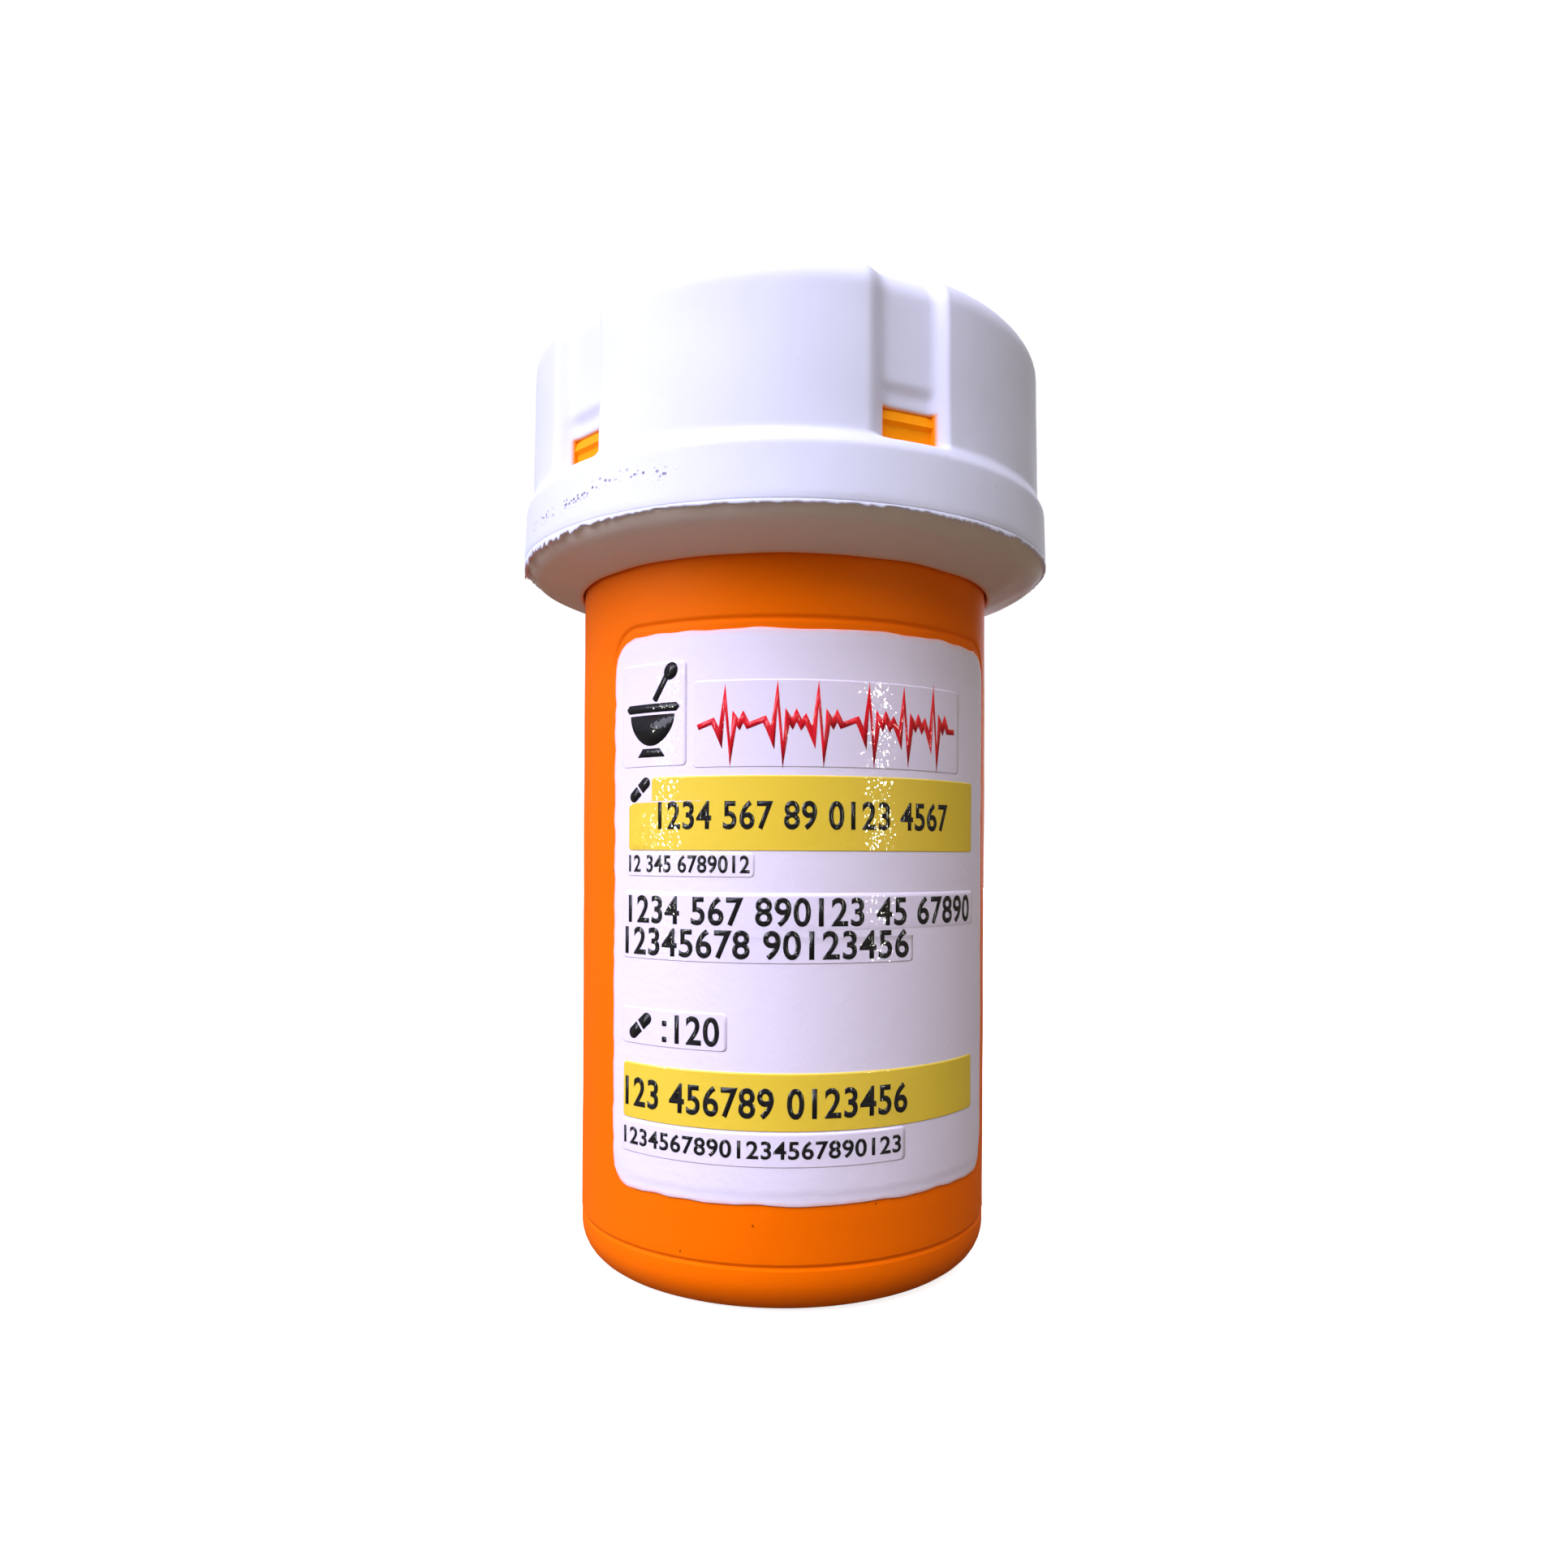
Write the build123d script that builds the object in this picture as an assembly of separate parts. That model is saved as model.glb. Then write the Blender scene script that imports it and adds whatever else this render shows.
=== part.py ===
from build123d import *
from math import acos, asin, atan, degrees, radians, sin, tan
import os

# A prescription vial with a push-down-and-turn lug cap.
# Origin at the centre of the foot, +Z up, front of the label towards -Y.
# Millimetres and degrees. Bearings are measured from -Y towards +X.

# Vial
TOTAL_HEIGHT = 74.8
BODY_R_FOOT = 16.85             # body radius just above the heel crease
BODY_R_SHOULDER = 17.25         # body radius at the shoulder, under the cap
CREASE_Z = 3.65                 # fine moulded line round the heel
CREASE_HALF = 0.3
CREASE_DEPTH = 0.2
FOOT_RECESS = 0.5               # the vial stands on a ring round a shallow recess
FOOT_RECESS_R = 11.6
FOOT_RING_R = 12.3
HEEL_ROUND = 2.8
SHOULDER_Z = 57.0
SHOULDER_DROP = 0.7             # the shoulder slopes up to the neck by this much
NECK_R = 16.1
NECK_BORE_R = 15.1
FOOT_BORE_R = 14.75
FLOOR_THICKNESS = 1.8
FLOOR_ROUND = 2.2               # between the floor and the bore
RIM_Z = 69.6
RIM_ROUND = 0.4

# Lugs on the neck, one below each window of the cap
LUG_COUNT = 5
LUG_BEARING = 25.4
LUG_PITCH = 360 / LUG_COUNT
LUG_R = 17.2
LUG_HALF_ANGLE = 7.0
LUG_Z = 60.6
LUG_HEIGHT = 1.8

# Cap shell
CAP_R = 21.6                    # above the flared band
CAP_TOP_ROUND = 2.4
CAP_WALL = 1.25
CAP_ROOF = 1.6
BAND_R = 22.25                  # widest radius, at the lower edge
BAND_TOP_Z = 61.15
FLARE_ROUND = 1.2               # softens the flare between the wall and the band
SEAM_Z = 56.7                   # where the shell meets the ring that closes it
SKIRT_BORE_R = 20.9
FLUTE_FLOOR_R = 20.5
FLUTE_FLOOR_HALF = 2.3
FLUTE_MOUTH_HALF = 3.0
FLUTE_FOOT_Z = 61.75
WINDOW_HALF = 2.2
WINDOW_Z = (62.05, 64.4)
WINDOW_GAP = 0.1                # round each pad that fills a window

# Bayonet ring inside the cap
RING_R = 19.1
RING_BORE_R = 17.65
RING_Z = (58.7, 66.0)
SHELF_BORE_R = 16.42
CHANNEL_HALF_ANGLE = 9.0        # entry channel, on each side of a lug
CREST_ANGLE = 27.0              # from a channel's centre to the top of the ramp
STOP_GAP_ANGLE = 1.5            # between a locked lug and the stop
TURN_ANGLE = 36.0               # from release to locked
PRESS_TRAVEL = 1.0              # how far the turn draws the cap down
LUG_CLEARANCE = 0.3
PAD_RECESS = 0.45               # pads stand this far behind the flute floors
PAD_RIDGE = 0.25                # height of the ridge across each pad
PAD_RIDGE_SHARE = 0.62          # how far up the pad the ridge is

# Ring that closes the underside of the cap: it slopes up from its bore, then steeper to the seam
UNDERSIDE_BORE_R = 17.55
UNDERSIDE_Z = 54.2
UNDERSIDE_RISE = 1.55
UNDERSIDE_BEND_R = 21.4
UNDERSIDE_BEND_ROUND = 2.0
SPIGOT_HEIGHT = 2.6             # the part of the ring that is pressed into the shell
SPIGOT_WALL = 1.1
RING_FLOOR_DROP = 0.4           # the ring's inner floor lies this far below the seam

# Sealing wad and spring disc
WAD_R = 17.6
WAD_THICKNESS = 1.0
HOLDER_BORE_R = 18.0
HOLDER_R = 18.8
HOLDER_Z = 68.0
HOLDER_LIP_R = 17.2
SPRING_R = 16.8
SPRING_HUB_R = 5.0
SPRING_THICKNESS = 0.7

# Label and the clear printed strips on it
LABEL_BEARING = 9.9
LABEL_HALF_ANGLE = 59.1
LABEL_Z = (8.0, 49.0)
LABEL_CORNER = 2.4
LABEL_THICKNESS = 0.12
FILM_THICKNESS = 0.06
OUTLINE_Z = (8.5, 49.75)
OUTLINE_HALF_ANGLE = 59.9
OUTLINE_WIDTH = 0.35
OUTLINE_DEPTH = 0.2

# name: (first bearing, last bearing, lower height, upper height)
FILMS = {
    "film_emblem": (-45.0, -24.5, 39.2, 46.9),
    "film_name": (-22.5, 51.0, 39.0, 45.3),
    "film_band_upper": (-42.5, 58.9, 33.0, 38.4),
    "film_item": (-43.0, -7.0, 31.1, 32.9),
    "film_directions": (-44.5, 59.5, 25.0, 30.0),
    "film_quantity": (-44.5, -13.5, 18.7, 21.4),
    "film_band_lower": (-44.0, 59.0, 13.2, 17.3),
    "film_footer": (-44.5, 31.5, 10.7, 13.1),
}


def body_radius(z):
    """Outer radius of the vial's body at height z: a straight taper."""
    share = (z - CREASE_Z) / (SHOULDER_Z - CREASE_Z)
    return BODY_R_FOOT + share * (BODY_R_SHOULDER - BODY_R_FOOT)


def rounded_outline(corners):
    """Closed outline through (radius, height) corners; a third number rounds that corner."""
    edges, arrive, first = [], None, None
    count = len(corners)
    for i in range(count):
        corner = Vector(corners[i][0], 0, corners[i][1])
        rounding = corners[i][2] if len(corners[i]) > 2 else 0
        before = Vector(corners[i - 1][0], 0, corners[i - 1][1])
        after = Vector(corners[(i + 1) % count][0], 0, corners[(i + 1) % count][1])
        start = end = corner
        if rounding:
            u, v = (before - corner).normalized(), (after - corner).normalized()
            half = acos(u.dot(v)) / 2
            bisector = (u + v).normalized()
            start, end = corner + u * (rounding / tan(half)), corner + v * (rounding / tan(half))
            middle = corner + bisector * (rounding / sin(half) - rounding)
        if arrive is not None:
            edges.append(Edge.make_line(arrive, start))
        if rounding:
            edges.append(Edge.make_three_point_arc(start, middle, end))
        first = start if first is None else first
        arrive = end
    edges.append(Edge.make_line(arrive, first))
    return Face(Wire(edges))


def turned(corners, first_bearing=0.0, arc=360.0):
    """Solid turned about Z from an outline, from one bearing through an arc."""
    return Rot(0, 0, first_bearing - 90) * revolve(rounded_outline(corners), Axis.Z, revolution_arc=arc)


def sector(inner, outer, low, high, bearing, half_angle):
    """Block of a ring, centred on a bearing."""
    outline = [(inner, low), (outer, low), (outer, high), (inner, high)]
    return turned(outline, bearing - half_angle, 2 * half_angle)


def around(make):
    """The shapes that make(bearing) gives at each lug's bearing."""
    return [make(LUG_BEARING + k * LUG_PITCH) for k in range(LUG_COUNT)]


def corner_cutter(bearing, height, side, end, radius):
    """What to cut from a sheet to round one corner: a square less the round that stays."""
    reach = 1.5 * radius
    square = Pos(0, side * reach / 2, end * reach / 2) * Box(9, reach, reach)
    stays = Rot(0, 90, 0) * Cylinder(radius, 10)
    return Rot(0, 0, bearing - 90) * Pos(body_radius(height), 0, height) * (square - stays)


def patch(first, last, low, high, inner, outer, corner=0.0):
    """Thin sheet that follows the body, between two offsets from its surface."""
    outline = [
        (body_radius(low) + inner, low),
        (body_radius(low) + outer, low),
        (body_radius(high) + outer, high),
        (body_radius(high) + inner, high),
    ]
    sheet = turned(outline, first, last - first)
    if corner:
        for end, height in ((-1, low + corner), (1, high - corner)):
            turn = degrees(asin(corner / (body_radius(height) + outer)))
            sheet -= corner_cutter(first + turn, height, -1, end, corner)
            sheet -= corner_cutter(last - turn, height, 1, end, corner)
    return sheet


def label_outline_groove():
    """Rounded frame moulded round the place of the label, as the solid to cut away."""
    first, last = LABEL_BEARING - OUTLINE_HALF_ANGLE, LABEL_BEARING + OUTLINE_HALF_ANGLE
    low, high = OUTLINE_Z
    inset_angle = degrees(OUTLINE_WIDTH / body_radius(low))
    frame = patch(first, last, low, high, -OUTLINE_DEPTH, 0.3, LABEL_CORNER + OUTLINE_WIDTH)
    inside = patch(first + inset_angle, last - inset_angle, low + OUTLINE_WIDTH,
                   high - OUTLINE_WIDTH, -1.0, 1.0, LABEL_CORNER)
    return frame - inside


def vial_body():
    """Orange polypropylene vial: foot, heel, tapered body, shoulder, neck and lugs."""
    crease_low, crease_high = CREASE_Z - CREASE_HALF, CREASE_Z + CREASE_HALF
    heel_r = BODY_R_FOOT - 0.08
    shell = turned([
        (0, FOOT_RECESS),
        (FOOT_RECESS_R, FOOT_RECESS, 0.4),
        (FOOT_RING_R, 0, 0.4),
        (heel_r, 0, HEEL_ROUND),
        (heel_r, crease_low, 0.2),
        (BODY_R_FOOT - CREASE_DEPTH, CREASE_Z, 0.15),
        (body_radius(crease_high), crease_high, 0.2),
        (BODY_R_SHOULDER, SHOULDER_Z, 0.6),
        (NECK_R, SHOULDER_Z + SHOULDER_DROP, 0.3),
        (NECK_R, RIM_Z, RIM_ROUND),
        (NECK_BORE_R, RIM_Z, RIM_ROUND),
        (FOOT_BORE_R, FLOOR_THICKNESS, FLOOR_ROUND),
        (0, FLOOR_THICKNESS),
    ])
    sunk = 0.3
    lugs = around(lambda bearing: sector(NECK_R - sunk, LUG_R, LUG_Z, LUG_Z + LUG_HEIGHT,
                                         bearing, LUG_HALF_ANGLE))
    for lug in lugs:
        shell += lug
    return shell - label_outline_groove()


def flute_prism(floor_r, floor_half, mouth_r, mouth_half, low, high, bearing):
    """Straight trough with sloping sides, running up the outside of the cap."""
    section = Polyline((floor_r, -floor_half), (mouth_r, -mouth_half),
                       (mouth_r, mouth_half), (floor_r, floor_half), close=True)
    prism = extrude(make_face(section), amount=high - low, dir=(0, 0, 1))
    return Rot(0, 0, bearing - 90) * Pos(0, 0, low) * prism


def cap_shell():
    """White cap: roof, fluted wall with a window at the foot of each flute, flared band."""
    roof_z = TOTAL_HEIGHT - CAP_ROOF
    shell = turned([
        (0, TOTAL_HEIGHT),
        (CAP_R - 0.1, TOTAL_HEIGHT, CAP_TOP_ROUND),
        (CAP_R, BAND_TOP_Z + 1.0, FLARE_ROUND),
        (BAND_R - 0.15, BAND_TOP_Z - 0.4, 0.9),
        (BAND_R, SEAM_Z + 1.2, 0.6),
        (BAND_R - 0.05, SEAM_Z),
        (SKIRT_BORE_R, SEAM_Z),
        (SKIRT_BORE_R, BAND_TOP_Z - 1.0, 0.3),
        (CAP_R - CAP_WALL, BAND_TOP_Z - 0.4, 0.3),
        (CAP_R - CAP_WALL, roof_z, 1.0),
        (HOLDER_R, roof_z),
        (HOLDER_R, HOLDER_Z, 0.2),
        (HOLDER_LIP_R, HOLDER_Z, 0.2),
        (HOLDER_LIP_R, HOLDER_Z + 0.5, 0.2),
        (HOLDER_BORE_R, HOLDER_Z + 0.9),
        (HOLDER_BORE_R, roof_z),
        (0, roof_z),
    ])
    back_r = FLUTE_FLOOR_R - CAP_WALL + 0.15
    slope = (FLUTE_MOUTH_HALF - FLUTE_FLOOR_HALF) / (CAP_R - FLUTE_FLOOR_R)
    mouth_r = BAND_R + 1.0
    mouth_half = FLUTE_FLOOR_HALF + slope * (mouth_r - FLUTE_FLOOR_R)
    backs = around(lambda bearing: flute_prism(back_r, FLUTE_MOUTH_HALF + 0.6, CAP_R - 0.6,
                                               FLUTE_MOUTH_HALF + 1.0, FLUTE_FOOT_Z - 1.6,
                                               roof_z + 0.2, bearing))
    flutes = around(lambda bearing: flute_prism(FLUTE_FLOOR_R, FLUTE_FLOOR_HALF, mouth_r, mouth_half,
                                                FLUTE_FOOT_Z, TOTAL_HEIGHT + 1, bearing))
    low, high = WINDOW_Z
    windows = around(lambda bearing: flute_prism(back_r - 1, WINDOW_HALF, BAND_R, WINDOW_HALF,
                                                 low, high, bearing))
    for back in backs:
        shell += back
    for cut in flutes + windows:
        shell -= cut
    return shell


def window_pad(bearing):
    """Block of the bayonet ring that fills one window, with a ridge across it that slopes back to the head."""
    low, high = WINDOW_Z[0] + WINDOW_GAP, WINDOW_Z[1] - WINDOW_GAP
    face_r, root_r = FLUTE_FLOOR_R - PAD_RECESS, RING_BORE_R + 0.6
    ridge_z = low + PAD_RIDGE_SHARE * (high - low)
    section = Polyline((root_r, low), (face_r, low), (face_r, ridge_z - PAD_RIDGE),
                       (face_r + PAD_RIDGE, ridge_z), (face_r, high), (root_r, high), close=True)
    pad = extrude(Plane.XZ * make_face(section), amount=WINDOW_HALF - WINDOW_GAP, both=True)
    return Rot(0, 0, bearing - 90) * pad


def bayonet_shelf(bearing):
    """Ramp that a lug climbs as the cap turns, the pocket behind its crest, and the stop."""
    low, pocket_top = RING_Z[0], LUG_Z - LUG_CLEARANCE
    reach = RING_BORE_R + 0.4
    rise = PRESS_TRAVEL * (CREST_ANGLE - LUG_HALF_ANGLE) / TURN_ANGLE
    ramp_from, ramp_to = bearing + CHANNEL_HALF_ANGLE, bearing + CREST_ANGLE
    stop_from = bearing + TURN_ANGLE + LUG_HALF_ANGLE + STOP_GAP_ANGLE
    stop_to = bearing + LUG_PITCH - CHANNEL_HALF_ANGLE

    ramp_mid, ramp_half = (ramp_from + ramp_to) / 2, (ramp_to - ramp_from) / 2
    ramp = sector(SHELF_BORE_R, reach, low, pocket_top + rise, ramp_mid, ramp_half)
    run = SHELF_BORE_R * radians(2 * ramp_half)
    above = Rot(degrees(atan(rise / run)), 0, 0) * Pos(0, 0, 3) * Box(9, 3 * run, 6)
    ramp -= Rot(0, 0, ramp_mid - 90) * Pos(SHELF_BORE_R, 0, pocket_top + rise / 2) * above

    pocket = sector(SHELF_BORE_R, reach, low, pocket_top,
                    (ramp_to + stop_from) / 2, (stop_from - ramp_to) / 2)
    stop = sector(SHELF_BORE_R, reach, low, LUG_Z + LUG_HEIGHT + 0.6,
                  (stop_from + stop_to) / 2, (stop_to - stop_from) / 2)
    return ramp + pocket + stop


def bayonet_ring():
    """Orange ring snapped inside the cap: it carries the shelves, and its pads fill the windows."""
    low, high = RING_Z
    ring = turned([(RING_BORE_R, low), (RING_R, low, 0.3), (RING_R, high, 0.3), (RING_BORE_R, high)])
    for piece in around(bayonet_shelf) + around(window_pad):
        ring += piece
    return ring


def skirt_ring():
    """White ring that closes the underside of the cap, with a spigot inside the shell."""
    spigot_r = SKIRT_BORE_R - 0.05
    spigot_top, inner_floor = SEAM_Z + SPIGOT_HEIGHT, SEAM_Z - RING_FLOOR_DROP
    return turned([
        (UNDERSIDE_BORE_R, UNDERSIDE_Z, 0.2),
        (UNDERSIDE_BEND_R, UNDERSIDE_Z + UNDERSIDE_RISE, UNDERSIDE_BEND_ROUND),
        (BAND_R - 0.05, SEAM_Z),
        (spigot_r, SEAM_Z),
        (spigot_r, spigot_top, 0.2),
        (spigot_r - SPIGOT_WALL, spigot_top, 0.2),
        (spigot_r - SPIGOT_WALL, inner_floor, 0.3),
        (UNDERSIDE_BORE_R, inner_floor, 0.2),
    ])


def seal_wad():
    """Soft disc that the cap presses on the rim of the vial."""
    return turned([(0, RIM_Z), (WAD_R, RIM_Z, 0.15), (WAD_R, RIM_Z + WAD_THICKNESS, 0.15),
                   (0, RIM_Z + WAD_THICKNESS)])


def spring_disc():
    """Dished disc between the wad and the roof, which pushes the cap back up."""
    low, high = RIM_Z + WAD_THICKNESS, TOTAL_HEIGHT - CAP_ROOF
    land = 1.5
    return turned([
        (SPRING_HUB_R - land, high),
        (SPRING_HUB_R, high),
        (SPRING_R - land, low + SPRING_THICKNESS),
        (SPRING_R, low + SPRING_THICKNESS),
        (SPRING_R, low),
        (SPRING_R - land, low),
        (SPRING_HUB_R, high - SPRING_THICKNESS),
        (SPRING_HUB_R - land, high - SPRING_THICKNESS),
    ])


def label():
    """White label wrapped part of the way round the body."""
    return patch(LABEL_BEARING - LABEL_HALF_ANGLE, LABEL_BEARING + LABEL_HALF_ANGLE,
                 *LABEL_Z, 0.0, LABEL_THICKNESS, LABEL_CORNER)


def film(name):
    """Clear printed strip stuck on the label."""
    return patch(*FILMS[name], LABEL_THICKNESS, LABEL_THICKNESS + FILM_THICKNESS)


parts = {
    "vial_body": vial_body(),
    "label": label(),
    "cap_shell": cap_shell(),
    "bayonet_ring": bayonet_ring(),
    "skirt_ring": skirt_ring(),
    "seal_wad": seal_wad(),
    "spring_disc": spring_disc(),
}
for film_name in FILMS:
    parts[film_name] = film(film_name)

os.makedirs("parts", exist_ok=True)
for node, solid in parts.items():
    solid.label = node
    export_step(solid, f"parts/{node}.step")
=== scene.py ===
"""Looks of a prescription vial with a push-down-and-turn lug cap, built round its packed CAD model.

Metres throughout. Bearings go round the vial from the front of the label, -Y, towards +X.
"""

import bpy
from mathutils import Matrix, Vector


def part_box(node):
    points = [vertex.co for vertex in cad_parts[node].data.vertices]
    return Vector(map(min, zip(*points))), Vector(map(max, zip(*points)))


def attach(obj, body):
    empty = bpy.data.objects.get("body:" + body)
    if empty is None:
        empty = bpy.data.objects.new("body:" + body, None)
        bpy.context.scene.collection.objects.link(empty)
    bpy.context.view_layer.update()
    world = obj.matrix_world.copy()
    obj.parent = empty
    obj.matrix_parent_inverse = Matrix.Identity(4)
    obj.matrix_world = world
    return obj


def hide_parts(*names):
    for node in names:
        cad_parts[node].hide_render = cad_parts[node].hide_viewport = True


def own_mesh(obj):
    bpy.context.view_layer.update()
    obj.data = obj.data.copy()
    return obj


bl_info = {
    "name": "Prescription Vial",
    "version": (1, 0, 0),
    "blender": (4, 5, 0),
    "location": "View3D > Sidebar > Vial",
    "description": "Builds the moulded vial, its lug cap, the label, film strips and print, and a studio",
    "category": "Add Mesh",
}

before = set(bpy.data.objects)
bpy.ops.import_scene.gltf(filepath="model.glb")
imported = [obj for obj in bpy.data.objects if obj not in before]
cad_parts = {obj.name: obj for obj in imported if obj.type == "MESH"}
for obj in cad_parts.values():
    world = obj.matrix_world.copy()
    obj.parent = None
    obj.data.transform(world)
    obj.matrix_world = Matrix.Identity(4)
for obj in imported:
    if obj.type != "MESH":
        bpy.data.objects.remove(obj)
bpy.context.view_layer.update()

from math import acos, asin, atan2, ceil, cos, pi, radians, sin, tan

import bmesh
import bpy
import numpy as np
from bpy.props import FloatProperty, FloatVectorProperty, PointerProperty
from mathutils import Euler, Vector

MM = 0.001
CAP_BOX, SKIRT_BOX, VIAL_BOX, LABEL_BOX = (
    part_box(node) for node in ("cap_shell", "skirt_ring", "vial_body", "label"))
TOP_Z, SEAM_Z, UNDERSIDE_Z, RIM_Z = CAP_BOX[1].z, CAP_BOX[0].z, SKIRT_BOX[0].z, VIAL_BOX[1].z
BAND_R, SHOULDER_R = CAP_BOX[1].x, VIAL_BOX[1].x

LUG_COUNT = 5
LUG_PITCH = 2 * pi / LUG_COUNT
LUG_BEARING = radians(25.4)
SHOULDER_Z, FOOT_R, CREASE_Z = 57.0 * MM, 16.85 * MM, 3.65 * MM
CAP_R, FLUTE_FLOOR_R, SEAM_R, INNER_WALL_R = 21.6 * MM, 20.5 * MM, 22.20 * MM, 20.23 * MM
HOLDER_R, HOLDER_BORE_R, HOLDER_LIP_R = 18.8 * MM, 18.0 * MM, 17.2 * MM
HOLDER_Z = 68.0 * MM
WINDOW_Z = (62.13 * MM, 64.32 * MM)
WINDOW_HALF = 2.12 * MM
LABEL_LIFT, FILM_LIFT = 0.12 * MM, 0.14 * MM
FILM_COAT = {"coat_weight": 0.4, "coat_roughness": 0.02, "coat_ior": 1.6}
GLINT_SIZE, GLINT_TILT = 0.14 * MM, 0.075
FILMS = [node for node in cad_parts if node.startswith("film_")]


def linear(code):
    """Linear red, green and blue of an sRGB hex colour."""
    shares = [int(code[i:i + 2], 16) / 255 for i in (1, 3, 5)]
    return tuple(c / 12.92 if c <= 0.04045 else ((c + 0.055) / 1.055) ** 2.4 for c in shares)


def length(name, description, millimetres):
    """A length that a user may change."""
    return FloatProperty(name=name, description=description, default=millimetres * MM,
                         min=0, unit="LENGTH", precision=5)


def colour(name, description, code):
    """A colour that a user may change."""
    return FloatVectorProperty(name=name, description=description, default=linear(code),
                               min=0, max=1, subtype="COLOR")


class VialSizes(bpy.types.PropertyGroup):
    """Small sizes of the moulded vial."""

    crease_depth: length("Heel crease", "Depth of the moulded line round the heel", 0.14)
    outline_width: length("Outline width", "Width of the moulded outline round the label's place", 0.4)
    outline_depth: length("Outline depth", "Depth of the moulded outline round the label's place", 0.18)
    wall_ripple: length("Wall ripple", "How far the moulded wall wanders from a true cone", 0.02)


class CapSizes(bpy.types.PropertyGroup):
    """Small sizes of the cap."""

    top_round: length("Top round", "Radius of the edge between the roof and the wall", 2.4)
    flute_blend: length("Flute blend", "How softly the flutes run into the wall", 0.7)
    window_step: length("Window step", "Depth of the shallow recess above each window", 0.28)
    flash_drop: length("Flash drop", "How far the ragged flash hangs below the seam", 0.6)
    wall_ripple: length("Wall ripple", "How far the moulded wall wanders from round", 0.03)


class LabelSizes(bpy.types.PropertyGroup):
    """Small sizes of the label, the strips and the print."""

    label_corner: length("Label corner", "Corner radius of the label", 2.4)
    label_fray: length("Label fray", "How far the label's edge wanders", 0.07)
    film_corner: length("Film corner", "Corner radius of a film strip", 0.3)
    crease_height: length("Crease height", "Height of the creases in the upper band", 0.09)
    ink_thickness: length("Ink thickness", "Thickness of the print", 0.012)


class VialColours(bpy.types.PropertyGroup):
    """Colours of the pieces."""

    vial: colour("Vial", "Orange polypropylene", "#FF7000")
    ring: colour("Bayonet ring", "Orange seen in the windows", "#FF9B00")
    cap: colour("Cap", "White polypropylene", "#DFE1F6")
    # A warmer, darker copy of the cap's white: painted shade under the cap and warm bounce light from the
    # orange body.
    underside: colour("Underside", "White polypropylene of the ring under the cap", "#E2CFC2")
    label: colour("Label", "Coated paper", "#EBE3F7")
    film: colour("Film", "Clear film over the label", "#EDE4FA")
    band: colour("Band", "Yellow film", "#F0CE38")
    ink: colour("Ink", "Black print", "#0B0A10")
    mark: colour("Mark", "Red print", "#DC001E")
    wad: colour("Wad", "Foamed polyethylene", "#F1F0E6")
    spring: colour("Spring disc", "Natural polyethylene", "#E6EAEC")
    floor: colour("Floor", "Painted board", "#F4F4F6")


class StageSettings(bpy.types.PropertyGroup):
    """Camera and light."""

    distance: length("Camera distance", "From the vial's axis to the camera", 95)
    height: length("Camera height", "Height of the camera above the floor", 32.8)
    tilt: FloatProperty(name="Camera tilt", description="How far the camera looks up",
                        default=radians(2.5), subtype="ANGLE", unit="ROTATION")
    roll: FloatProperty(name="Camera roll", description="Turn of the camera about its own line of sight",
                        default=radians(0.289), subtype="ANGLE", unit="ROTATION")
    lens: FloatProperty(name="Lens", description="Focal length on a 36 mm sensor", default=25.1, min=1)
    key: FloatProperty(name="Key light", description="Power of the main softbox", default=17,
                       min=0, subtype="POWER", unit="POWER")
    fill: FloatProperty(name="Fill light", description="Power of the front fill", default=8,
                        min=0, subtype="POWER", unit="POWER")
    back: FloatProperty(name="Back fill", description="Power of the light behind the vial", default=7,
                        min=0, subtype="POWER", unit="POWER")
    strips: FloatProperty(name="Strip lights", description="Power of the two narrow strips", default=0.9,
                          min=0, subtype="POWER", unit="POWER")
    ceiling: FloatProperty(name="Ceiling", description="Brightness of the light from overhead",
                           default=0.32, min=0)
    walls: FloatProperty(name="Walls", description="Brightness of the light from level with the vial",
                         default=0.24, min=0)
    floor_glow: FloatProperty(name="Floor glow", description="How much the floor is lifted towards white",
                              default=0.82, min=0)
    floor_bounce: FloatProperty(name="Floor bounce", description="Share of light that the floor throws up",
                                default=0.12, min=0, max=1, subtype="FACTOR")


# Shapes

def smooth(low, high, value):
    """0 below low, 1 above high, and a soft rise between them."""
    share = np.clip((value - low) / (high - low), 0, 1)
    return share * share * (3 - 2 * share)


def soft_min(a, b, blend):
    """The smaller of a and b, rounded where they cross."""
    share = np.clip(0.5 + 0.5 * (b - a) / blend, 0, 1)
    return b * (1 - share) + a * share - blend * share * (1 - share)


def ripple(x, y, wavelength, seed, count=7):
    """Gentle seeded waves over a surface, from about -1 to 1."""
    pick = np.random.default_rng(seed)
    total = 0
    for _ in range(count):
        turn, phase = pick.uniform(0, 2 * pi, 2)
        pace = 2 * pi / (wavelength * pick.uniform(0.6, 1.6))
        total = total + np.sin((x * cos(turn) + y * sin(turn)) * pace + phase)
    return total / count ** 0.5


def jagged(bearing, spacing, seed):
    """Seeded broken line round the vial, from 0 to 1, with points about spacing apart."""
    count = ceil(2 * pi / spacing)
    heights = np.random.default_rng(seed).uniform(0, 1, count) ** 1.6
    return np.interp(bearing % (2 * pi), np.linspace(0, 2 * pi, count + 1), np.append(heights, heights[0]))


def stations(start, end, step):
    """Values from start to end, spaced by step, which is a number or a function of the value."""
    values = [start]
    while True:
        gap = step(values[-1]) if callable(step) else step
        if values[-1] + 1.5 * gap >= end:
            return np.array(values + [end])
        values.append(values[-1] + gap)


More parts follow.
